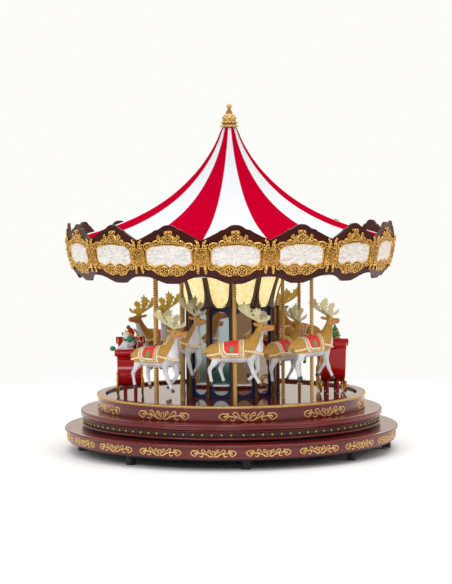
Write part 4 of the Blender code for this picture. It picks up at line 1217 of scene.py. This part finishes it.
def deerCoat():
    f = Finish("deer_coat", Specular_IOR_Level=0.25)
    x, z = f.axis("X"), f.axis("Z")
    fur = f.noise(900, 3, (1, 1, 0.4))
    wash = f.noise(110, 4, (1, 1, 0.6)).ramp(0.36, 0.66)
    # where the coat is white: below a wandering line, on the chest and under the chin
    wander = (f.noise(420, 4, (1, 1, 0.45)) - 0.5) * 3.2
    low = 1 - (z + wander - (47.2 + x.ramp(12, 20) * 3.6)).ramp(-1, 1.2)
    bib = (x + wander * 0.6 - 19.4 - (z - 55.3) * 0.46).ramp(-0.5, 0.8) * (z < 71.6)
    chin = (1 - (z - (x - 30) * 0.10).ramp(72.6, 73.5)) * (x > 25.6)
    white = f.maths("MAXIMUM", f.maths("MAXIMUM", low, bib), chin)
    tan = f.mix(fur, (0.36, 0.165, 0.030), (0.60, 0.34, 0.095))
    tan = f.mix(wash * 0.6, tan, f.mix(fur, (0.56, 0.30, 0.06), (0.80, 0.52, 0.17)))
    tan = f.mix((z + wander).ramp(52, 66) * (1 - x.ramp(18, 24)), tan,
                f.mix(fur, (0.45, 0.22, 0.022), (0.64, 0.35, 0.055)))
    tan = f.mix(x.ramp(26, 36) * 0.6, tan, (0.56, 0.25, 0.05))
    pale = f.mix((1 - wash) * 0.6, f.mix(fur, (0.84, 0.84, 0.85), (0.74, 0.74, 0.76)), (0.44, 0.44, 0.47))
    paint = f.mix(white, tan, pale)
    # darker on the neck; painted shade in the hollows
    paint = f.mix(x.ramp(16, 22) * (z > 56) * (z < 73) * 0.3 * (1 - bib), paint, (0.20, 0.10, 0.02))
    paint = f.mix(1 - f.openness(7).ramp(0.25, 0.9), paint, f.mix(0.8, paint, (0.10, 0.07, 0.05)))
    # painted shade: darker brown where the surface curves in
    f.feed(Base_Color=f.mix((1 - f.pointed(0.42, 0.52)) * 0.45, paint, (0.20, 0.12, 0.07)),
           Roughness=0.46 + 0.15 * fur)
    return f.bump(fur, 0.25, 0.25)


def antlerPaint(name, dark, light, groove):
    f = Finish(name, Specular_IOR_Level=0.35)
    grain = f.noise(700, 4)
    # painted shade: the dark groove colour goes where the surface curves in
    f.feed(Base_Color=f.mix(f.pointed(0.42, 0.53), groove, f.mix(grain, dark, light)),
           Roughness=0.42 + 0.15 * grain)
    return f.bump(grain, 0.3, 0.25)


def surface(mesh):
    return BVHTree.FromPolygons([v.co / mm for v in mesh.vertices], [p.vertices[:] for p in mesh.polygons])


def hit(tree, start, way, lift):
    # the first point of a surface from outside, lifted off it, and its normal there
    spot, normal = tree.ray_cast(Vector(start), Vector(way).normalized())[:2]
    return (spot + normal * lift, normal) if spot else (None, None)


saddle = {"radius": 9.5, "low": 46.9, "rear": -15.6, "fore": 8.5, "lift": 0.62, "thick": 1.1}


def makeSaddle(body):
    # the blanket, cast in one with the figure: a shell over the back
    radius, low, rear = saddle["radius"], saddle["low"], saddle["rear"]
    rows = []
    for i in range(33):
        x = rear + 0.4 + (saddle["fore"] - rear - 0.4) * i / 32
        edge = low + radius - math.sqrt(radius ** 2 - max(0, radius - (x - rear)) ** 2)
        edge -= 1.5 * min(1, max(0, (x - 2.5) / 2))

        def over(t, lift):
            # a ray onto the back at the angle t from upright
            return hit(body, (x, 30 * math.sin(t), 54 + 30 * math.cos(t)), (0, -math.sin(t), -math.cos(t)),
                       lift)[0]
        limits = []
        for side in (-1, 1):
            best = 1.2
            for k in range(60):
                t = 0.9 + k * 0.022
                found = over(side * t, 0)
                if found and found.z < edge:
                    break
                best = t
            limits.append(best)
        rows.append([over(-limits[0] + (limits[0] + limits[1]) * k / 40, saddle["lift"]) for k in range(41)])
    for smoothing in range(3):
        rows = [[row[0], *[(a + 2 * b + c) / 4 for a, b, c in zip(row, row[1:], row[2:])], row[-1]]
                for row in rows]
    inner = [[p + (Vector((p.x, 0, 54)) - p).normalized() * saddle["thick"] for p in row] for row in rows]
    cloth = Shape()
    cloth.grid([row + back[::-1] for row, back in zip(rows, inner)])
    return cloth.mesh("saddle_cloth")


def saddlePaint():
    # bands that follow the rounded rear corner, and two straight ones in front
    f = Finish("saddle_paint", Specular_IOR_Level=0.5)
    x, z = f.axis("X"), f.axis("Z")
    radius, white = saddle["radius"], (0.86, 0.85, 0.83)
    over = f.maths("MAXIMUM", radius - (x - saddle["rear"]), 0)
    under = f.maths("MAXIMUM", radius - (z - saddle["low"]), 0)
    inset = radius - (over * over + under * under) ** 0.5
    front = x - (z - 54) * 0.02
    scales = f.cells(1400)
    gold = f.mix(scales.ramp(0.25, 0.6), (0.80, 0.60, 0.26), (0.50, 0.28, 0.07))
    red = f.mottle(500, 3, (0.86, 0.055, 0.034), (0.70, 0.026, 0.022))
    paint = white
    for place, edge, colour in ((inset, 1.2, gold), (inset, 3.9, white), (inset, 5.1, red),
                                (front, 3.2, gold),
                                (front, 7.4, white)):
        paint = f.mix(place > edge, paint, colour)
    f.feed(Base_Color=paint, Roughness=0.38 + 0.2 * f.noise(700, 2))
    return f.bump(scales, 0.2, 0.2)


# straps in the side view: cheek strap, jaw strap and noseband
bridle = [[(25.2, 77), (25.6, 75), (26.6, 72.9), (28, 71.4)],
          [(25.6, 75.2), (28.4, 74), (31.2, 74.6), (33.6, 75.2)],
          [(33.6, 78.2), (33.6, 76.6), (33.5, 74.8), (33.3, 73.2)]]


def makeHerd():
    skin, horns = deerBody(), antlerPair()
    body = surface(skin)
    blanket = makeSaddle(body)
    over = surface(blanket)
    pearls, bands, motifs, straps, eyes, hooves = (Shape() for k in range(6))
    rear, low, radius = saddle["rear"], saddle["low"], saddle["radius"]
    for side in (-1, 1):
        # gold bands with pearls, round the chest and round the rump
        chest = [((x, side * 30, 54.4 - (x - 9.4) * 0.155), (0, -side, 0))
                 for x in (9.4, 11.5, 13.6, 15.8, 18)]
        chest += [((18 + 30 * math.sin(t), side * 30 * math.cos(t), 53 - 1.9 * math.sin(t)),
                   (-math.sin(t), -side * math.cos(t), 0)) for t in (0.25, 0.5, 0.75, 1, 1.25, 1.5)]
        rump = [((x, side * 30, 52.2 + (x + 12) * 0.13), (0, -side, 0)) for x in (-11.8, -14, -16.2, -18.4)]
        rump += [((-18.5 - 30 * math.sin(t), side * 30 * math.cos(t), 51.2 - 1.3 * math.sin(t)),
                  (math.sin(t), -side * math.cos(t), 0)) for t in (0.25, 0.55, 0.85, 1.15)]
        for line in (chest, rump):
            found = [hit(body, start, way, 0.15)[0] for start, way in line]
            path = smoothPath([spot for spot in found if spot], 5)
            bands.tube(path, 1.15, 8, 1.1, up=(0, 0.02, 1))
            lengths = [0]
            for a, b in zip(path, path[1:]):
                lengths.append(lengths[-1] + (b - a).length)
            for k in range(int(lengths[-1] / 2.8) + 1):
                spot = path[max(j for j in range(len(path)) if lengths[j] <= (k + 0.4) * 2.8)]
                normal = body.find_nearest(spot)[1]
                pearls.ball(spot + normal * 0.8, 0.95, 8, 6)
        # pearls on the blanket's front strip and round its gold border
        marks = [(5.3, 46.6 + 2.35 * k) for k in range(8)]
        marks += [(rear + radius - 7.2 * math.cos(t), low + radius - 7.2 * math.sin(t))
                  for t in (0, 0.3, 0.6, 0.9, 1.2, 1.5)]
        marks += [(rear + 2.3, z) for z in (56.6, 58.8, 60.8)]
        marks += [(-2.4, low + 2.4), (0.2, low + 2.3), (2.4, low + 2.3)]
        for x, z in marks:
            spot, normal = hit(over, (x, side * 30, z), (0, -side, 0), 0.1)
            if spot:
                pearls.ball(spot, 0.5, 6, 5)
        # a small tree on the blanket
        for x, z, r in ((-3.2, 54.2, 2.2), (-3.1, 55.9, 2), (-3, 57.5, 1.6), (-3, 58.9, 1.1)):
            spot, normal = hit(over, (x, side * 30, z), (0, -side, 0), 0)
            turn = Matrix.Translation(spot) @ normal.to_track_quat("Z", "Y").to_matrix().to_4x4()
            motifs.ball((0, 0, 0), (r, r * 0.85, 0.55), 12, 6, turn)
        for line in bridle:
            path = smoothPath([hit(body, (x, side * 20, z), (0, -side, 0), 0.05)[0] for x, z in line], 4)
            straps.tube(path, 0.32, 6)
        eyes.ball(hit(body, (27, side * 20, 77.4), (0, -side, 0), -0.25)[0], (0.85, 0.7, 0.7), 10, 8)
        eyes.ball(hit(body, (37, side * 20, 77), (0, -side, 0), -0.2)[0], (0.42, 0.42, 0.34), 8, 6)
    for x, y, z, tilt in deerHooves:
        for half in (-1, 1):
            turn = Matrix.Translation((x, y + half * 0.75, z)) @ Matrix.Rotation(math.radians(tilt), 4, "Y")
            hooves.lathe([(0.95, -1.5), (1.15, -1.2), (0.85, 1.2), (0.4, 1.7)], 10, False,
                         turn @ Matrix.Diagonal((1.3, 0.85, 1, 1)))

    gold = gilding("harness_gold", (1.0, 0.80, 0.40), (0.74, 0.44, 0.11), (0.30, 0.14, 0.03), 0.30, 0.35,
                   1200)
    pearl = Finish("harness_pearl", Base_Color=(1.0, 0.90, 0.66), Coat_Weight=0.4)
    pearl.feed(Roughness=0.25 + 0.1 * pearl.noise(600))
    green = Finish("tree_motif", Coat_Weight=0.3, Roughness=0.4)
    green.feed(Base_Color=green.mottle(900, 3, (0.025, 0.30, 0.075), (0.06, 0.42, 0.14)))
    green.bump(green.noise(1200), 0.3, 0.2)
    pink = Finish("bridle_pink", Base_Color=(0.62, 0.13, 0.12))
    pink.feed(Roughness=0.4 + 0.1 * pink.noise(800))
    black = Finish("eye_black", Base_Color=(0.012, 0.009, 0.008), Roughness=0.12, Coat_Weight=0.6)
    hoof = Finish("hoof_black", Roughness=0.4)
    hoof.feed(Base_Color=hoof.mottle(600, 3, (0.03, 0.03, 0.035), (0.10, 0.10, 0.11)))
    cream = antlerPaint("antler_cream", (0.48, 0.42, 0.18), (0.82, 0.77, 0.49), (0.22, 0.17, 0.06))
    # painted light: a warmer, brighter copy of the antler paint standing in for the lantern's warm light on
    # the back row
    lanternLitAntler = antlerPaint("antler_painted_lantern_light", (0.84, 0.60, 0.05), (1.0, 0.82, 0.19), (0.36, 0.20, 0.015))
    backHorns = horns.copy()

    parts = [("skin", skin, deerCoat(), "deer_brown"), ("antlers", horns, cream, "deer_brown"),
             ("saddle", blanket, saddlePaint(), "deer_brown"), ("bands", bands.mesh("bands"), gold, "gold"),
             ("pearls", pearls.mesh("pearls"), pearl, "gold"),
             ("motifs", motifs.mesh("motifs"), green, "green"),
             ("bridle", straps.mesh("bridle"), pink, "deer_brown"),
             ("eyes", eyes.mesh("eyes"), black, "black_rubber"),
             ("hooves", hooves.mesh("hooves"), hoof, "black_rubber")]
    for rider in riders:
        place = polePlace(rider, box("pole_" + rider)[0].z + herd["depth"])
        heading = math.atan2(place.translation.x, -place.translation.y)
        heading += math.radians(herd["turns"].get(rider, 0))
        place = place @ Matrix.Rotation(heading, 4, "Z")
        for name, mesh, finish, slot in parts:
            # the back row wears the lantern-lit copy of the antler paint
            if name == "antlers" and "back" in rider:
                mesh, finish = backHorns, lanternLitAntler
            makePiece("deer_" + rider + "_" + name, mesh, finish, "rider_" + rider,
                      ["deer_" + rider] if name == "skin" else (), place,
                      180 if name in ("skin", "antlers") else 50)


makeHerd()
print("deer done")


# Sleighs, the waving snowman and the small tree
# Local x points forward, -y outwards, heights count from the turntable.

sleigh = {"circle": 102.7, "footHalf": 11.7, "headHalf": 12.8, "gap": 0.3, "runner": 12.6}
sleighSide = [(-20.6, 51.5), (-22.6, 55.4), (-26.2, 56.9), (-29, 54.6), (-28.8, 50.8), (-26.6, 46),
              (-25.4, 38), (-24.4, 29), (-22.6, 21.5), (-17.6, 15.6), (-9, 13), (2, 11.4), (13, 10),
              (19, 11.6), (22.8, 17.4), (23.9, 25), (22.4, 32), (22.4, 37), (24.6, 40.6), (27.6, 43.6),
              (26.6, 47.4), (22.8, 48), (19.6, 44.8), (17.6, 38.6), (12.6, 33.6), (4, 31.2), (-6, 31.4),
              (-13.6, 34.2), (-17.6, 40.4)]
# rolled edges over the dash and the seat back: (x, z, radius, half width, radius of the scrolled end)
sleighRolls = [(24.4, 44.4, 3.5, 15, 2.6), (-25.6, 53.4, 3.7, 14.9, 2.8)]
sleighCushion = [(-15.5, 33.4), (-15.5, 35.4), (-13.8, 36.6), (8, 34.6), (12.6, 35.6), (12.8, 34)]
# gilt lines on the side, and their thickness
sleighLines = [
    ([(-20, 26), (-12, 19), (0, 17.5), (12, 18.5), (18, 24), (17, 29), (12.5, 29.5), (11.5, 25.5), (14, 24)],
     0.6),
    ([(-20, 26), (-21.5, 33), (-18, 37), (-14.5, 34.5), (-16, 31.5)], 0.6),
    ([(0, 17.5), (-3, 22.5), (-8, 24.5), (-11.5, 22), (-9.5, 19.8)], 0.5),
    ([(2, 17.6), (5, 22.5), (7.5, 25), (4.5, 27), (3, 25)], 0.5)]
sleighRunner = [(-21.6, 11.6), (-24, 13.4), (-27.4, 12.4), (-28.6, 8.6), (-26.4, 4.6), (-20, 2.6), (-10, 1.5),
                (4, 1.3), (16, 1.9), (24, 4.4), (28.4, 10), (29.6, 17), (27.8, 23), (24.6, 24.4),
                (23.2, 21.6), (24.6, 19.8)]
sleighStruts = [
    [(-16, 2.2), (-20.5, 6), (-19.4, 11.6), (-15.4, 13.4), (-13.4, 10.8), (-15.6, 9)],
    [(-8, 1.6), (-3.4, 4.6), (-5, 9.8), (-9, 11.6), (-11, 9.4)],
    [(8, 1.6), (12.8, 4.8), (12.4, 9.6), (8.4, 11), (6.4, 8.8), (8.4, 7.6)],
    [(17, 2.4), (21.4, 6.6), (20.6, 12), (17, 13.6), (15.4, 11)]]


def sleighHalf(z):
    return sleigh["footHalf"] + (sleigh["headHalf"] - sleigh["footHalf"]) * min(1, max(0, (z - 10) / 46))


def makeSleigh(name, place):
    outline = smoothPath(sleighSide + sleighSide[:1], 5)[:-1]
    middle = Vector((-2.5, 24))
    body, trim, rails, bars = Shape(), Shape(), Shape(), Shape()
    rows = []
    for share, inset in ((-1, 0.9), (-1, 0.35), (-0.975, 0), (0.975, 0), (1, 0.35), (1, 0.9)):
        edge = [p + (middle - p).normalized() * inset for p in outline]
        rows.append([place @ Vector((p.x, share * sleighHalf(p.y), p.y)) for p in edge])
    body.grid(rows)
    for x in (-13, 13):
        for y in (-5.2, 5.2):
            body.tube([(x, y, 0.05), (x, y, 0.6), (x, y, 6), (x, y, 18)], [1.9, 1.7, 1.6, 1.8], 12,
                      place=place)
    for x, z, r, half, end in sleighRolls:
        body.lathe([(0, -half), (r - 0.5, -half), (r, 0.5 - half), (r, half - 0.5), (r - 0.5, half),
                    (0, half)], 28,
                   place=place @ Matrix.Translation((x, 0, z)) @ Matrix.Rotation(math.pi / 2, 4, "X"))
    body.grid([[place @ Vector(((x + 1) * inset - 1, share * 13, 33 + (z - 33) * inset))
                for x, z in sleighCushion]
               for share, inset in ((-0.86, 0.9), (-0.82, 1), (0.82, 1), (0.86, 0.9))])
    makePiece(name + "_body", body, sleighRed, "rotor", [name], sharp=35)

    for side in (-1, 1):
        def wall(p):
            return place @ Vector((p.x, side * (sleighHalf(p.y) + 0.15), p.y))

        def stand(points, shift=0):
            return [place @ Vector((x, side * (sleigh["runner"] + shift), z)) for x, z in points]
        trim.tube([wall(p + (middle - p) * 0.012) for p in outline[:118]], 0.42)
        for points, r in sleighLines:
            trim.tube([wall(p) for p in smoothPath(points, 5)], r, 8, 0.7)
        for x, z, r, half, end in sleighRolls:
            trim.tube([place @ Vector((a, side * (half + 0.05), b))
                       for a, b in curl((x, z), end, 0, 1.6, 24, 0.12)], 0.42)
        rails.tube(stand(smoothPath(sleighRunner, 6)), 1, 10, up=place.to_3x3() @ Vector((0, 1, 0)))
        # scrolled struts between the runner and the body
        for points in sleighStruts:
            rails.tube(stand(smoothPath(points, 5), -0.5), 0.75)
        for spot in stand([(-15.6, 9.9), (8.2, 8.6), (-21.8, 10.6), (24, 20.8)], -0.3):
            rails.ball(spot, 1.15, 10, 8)
    for x in (-8, 8):
        # under the body, from runner to runner
        bars.tube([(x, y, 11.4 - 0.11 * x) for y in (-12.6, -6, 6, 12.6)], 0.6, place=place)
    makePiece(name + "_trim", trim, shadedGilt, "rotor")
    makePiece(name + "_bars", bars, boardBrown, "rotor")
    makePiece(name + "_rails", rails, shadedGilt, "rotor", [name + "_runners"])


def makeSnowman(place):
    snow, red, gilt, green, nose, coal, cane = (Shape() for k in range(7))
    snow.ball((1, -1.8, 42.6), (6.6, 6.8, 7.6), 20, 14)
    snow.ball((1.4, -2.2, 51.4), (5.4, 5.8, 5.8), 20, 14)
    snow.ball((2.4, -2.4, 60.2), 4.9, 20, 14)
    # arms and mittens
    snow.tube([(1.6, -5.6, 51.5), (2.6, -8.6, 48.4), (3.6, -12.4, 46.2), (4.2, -15.4, 46.4)],
              [2.8, 2.4, 1.9, 1.7], 12)
    snow.tube([(3, 2, 51.5), (5.2, 3.2, 52.2), (7, 2, 54), (7.8, 0.6, 55.4)], [2.6, 2.4, 2.1, 1.9], 12)
    green.ball((4.6, -17.6, 47.4), (2.5, 3, 2.6), 14, 10)
    green.ball((8.4, 0.2, 57.2), (2.7, 3.5, 3.4), 14, 10)
    green.ball((8.6, 2.4, 57.8), (1, 1.1, 1.6), 10, 8)
    # ear muff, bobble and scarf
    green.ball((1.6, -7.2, 61.8), (1.6, 1.3, 2), 12, 8)
    green.ball((1.4, -1.6, 68.6), 2.2, 14, 10)
    green.tube([(2 + 4.4 * math.cos(tau * k / 20), -2.3 + 4.4 * math.sin(tau * k / 20), 56.2)
                for k in range(21)], 1.15)
    green.tube([(6.2, 0.4, 56), (6.6, 3.4, 54.2), (5.6, 6, 52.8)], [1.3, 1.4, 0.7], 8, 0.5)
    # cap and its band
    red.tube([(2.4, 0.2, 61.6), (2.3, 1, 63.6), (1.9, 0.4, 66.2), (1.4, -1.4, 68.2)], [4.2, 3.9, 2.7, 1.2],
             18)
    gilt.tube([(2.6 + 4.3 * math.cos(a), -0.4 + 4.2 * math.sin(a), 62.6 - 2.6 * math.sin(a))
               for a in [tau * k / 24 for k in range(25)]], 0.95)
    nose.tube([(6.8, 0.2, 60.2), (8.8, 1.4, 60)], [0.7, 0.15])
    for y in (-1.8, 1.6):
        coal.ball((6.6 - 0.12 * abs(y), y, 61.8), 0.55, 8, 6)
    for z in (48.5, 51.5):
        coal.ball((6.7, -2, z), 0.6, 8, 6)
    # a sack with a garland and a striped cane beside the figure
    red.ball((-3.6, 7, 48.6), (5, 4.8, 8.2), 18, 12)
    dice = random.Random(11)
    for k in range(26):
        t = k / 25
        spot = (1 + 1.4 * dice.random(), 3.8 + 4.8 * math.sin(2.6 * t + 0.2), 66.2 - 13.5 * t)
        (gilt if k % 3 else green).ball(spot, 0.8 + 0.6 * dice.random(), 8, 6)
    cane.tube(smoothPath([(4.2, 7, 40), (4.2, 7.4, 50), (4.2, 8, 54.2), (4.2, 9.2, 55.4), (4.2, 10.4, 54.4),
                          (4.2, 10.6, 52.8)]), 0.8, 10)

    white = Finish("snow_white", Roughness=0.5)
    white.feed(Base_Color=white.mottle(300, 4, (0.82, 0.83, 0.86), (0.74, 0.75, 0.79)))
    white.bump(white.noise(900), 0.2, 0.2)
    mitten = Finish("mitten_green", Coat_Weight=0.2, Roughness=0.45)
    mitten.feed(Base_Color=mitten.mottle(500, 4, (0.008, 0.16, 0.055), (0.02, 0.27, 0.10)))
    mitten.bump(mitten.cells(1500))
    orange = Finish("nose_orange", Base_Color=(0.8, 0.25, 0.04))
    orange.feed(Roughness=0.4 + 0.1 * orange.noise(900))
    sugar = Finish("striped_cane", Coat_Weight=0.4, Roughness=0.3)
    twist = sugar.maths("SINE", (sugar.axis("Z") + sugar.axis("Y")) * 2.6)
    sugar.feed(Base_Color=sugar.mix(twist > 0, (0.85, 0.80, 0.78), (0.62, 0.05, 0.05)))
    coalBlack = Finish("coal_black", Base_Color=(0.01, 0.01, 0.01), Roughness=0.3)
    for part, shape, finish, slot in (
            ("snow", snow, white, "white"), ("cap", red, sleighRed, "sleigh_red"),
            ("gilt", gilt, shadedGilt, "gold"),
            ("mittens", green, mitten, "green"), ("nose", nose, orange, "gold"),
            ("coal", coal, coalBlack, "black_rubber"), ("cane", cane, sugar, "sleigh_red")):
        makePiece("snowman_" + part, shape, finish, "rotor", ["snowman"] if part == "snow" else (),
                  place, 60)


# tiers of the tree from the foot up: foot, radius and top of each
treeTiers = [(34.6, 9.2, 44), (40.5, 9, 51), (46.5, 8.6, 57), (52.5, 7.6, 62), (57.6, 6, 66.4),
             (62.2, 3.9, 69.6)]


def makeTree(place):
    tree, garland = Shape(), Shape()

    def at(r, a, z):
        return place @ Vector((-4 + r * math.cos(a), -3.6 + r * math.sin(a), z))
    for n, (foot, radius, top) in enumerate(treeTiers):
        rows = []
        for t in (0, 0.06, 0.2, 0.45, 0.75, 1):
            row = []
            for k in range(36):
                a = tau * k / 36
                wave = math.cos(9 * a + n) * (1 - t)
                reach = radius * (1 + 0.12 * wave) * (0.90 if t == 0 else 1 - 0.86 * t)
                row.append(at(reach, a, foot + (top - foot) * t + 0.4 * (1 - t - wave)))
            rows.append(row)
        tree.grid(rows)
    for n in range(3):
        path = []
        for k in range(41):
            z = 42 + n * 8.2 + 7.4 * k / 40
            r = between([(34, 9.3), (44, 8.7), (52, 7.4), (60, 5), (66, 2.8), (70, 1)], z)
            path.append(at(r, tau * k / 40 * 1.1 + 1.1 + n * 2, z))
        garland.tube(path, 0.42, 6)
    garland.ball(at(0, 0, 70.4), (0.9, 0.9, 1.5), 10, 8)
    dice = random.Random(3)
    for k in range(26):
        a, z = tau * dice.random(), 38 + 26 * dice.random()
        garland.ball(at(between([(34, 9), (44, 8.2), (52, 6.8), (60, 4.6), (66, 2.6), (70, 1)], z), a, z),
                     0.75, 8, 6)
    needle = Finish("fir_green", Coat_Weight=0.15, Roughness=0.5)
    needle.feed(Base_Color=needle.mix(needle.noise(420, 5, (1, 1, 0.5)), (0.008, 0.18, 0.035),
                                      (0.04, 0.38, 0.10)))
    needle.bump(needle.noise(700, 4, (1, 1, 0.4)), 0.6, 0.5)
    makePiece("tree_tiers", tree, needle, "rotor", ["gift_tree"], sharp=60)
    makePiece("tree_garland", garland, shadedGilt, "rotor")


sleighRed = Finish("sleigh_enamel", Coat_Weight=0.5, Coat_Roughness=0.05, Specular_IOR_Level=0.1)
sleighRed.feed(Base_Color=sleighRed.mottle(45, 5, (0.50, 0.005, 0.008), (0.34, 0.003, 0.005)),
               Roughness=0.24 + 0.12 * sleighRed.noise(220))
sleighRed.bump(sleighRed.noise(160), 0.08)
deck = box("turntable")[1].z + sleigh["gap"]
makeSleigh("sleigh_left", along(-90, sleigh["circle"], deck))
makeSnowman(along(-90, sleigh["circle"], deck))
makeSleigh("sleigh_right", along(90, sleigh["circle"], deck))
makeTree(along(90, sleigh["circle"], deck))
print("sleighs done")
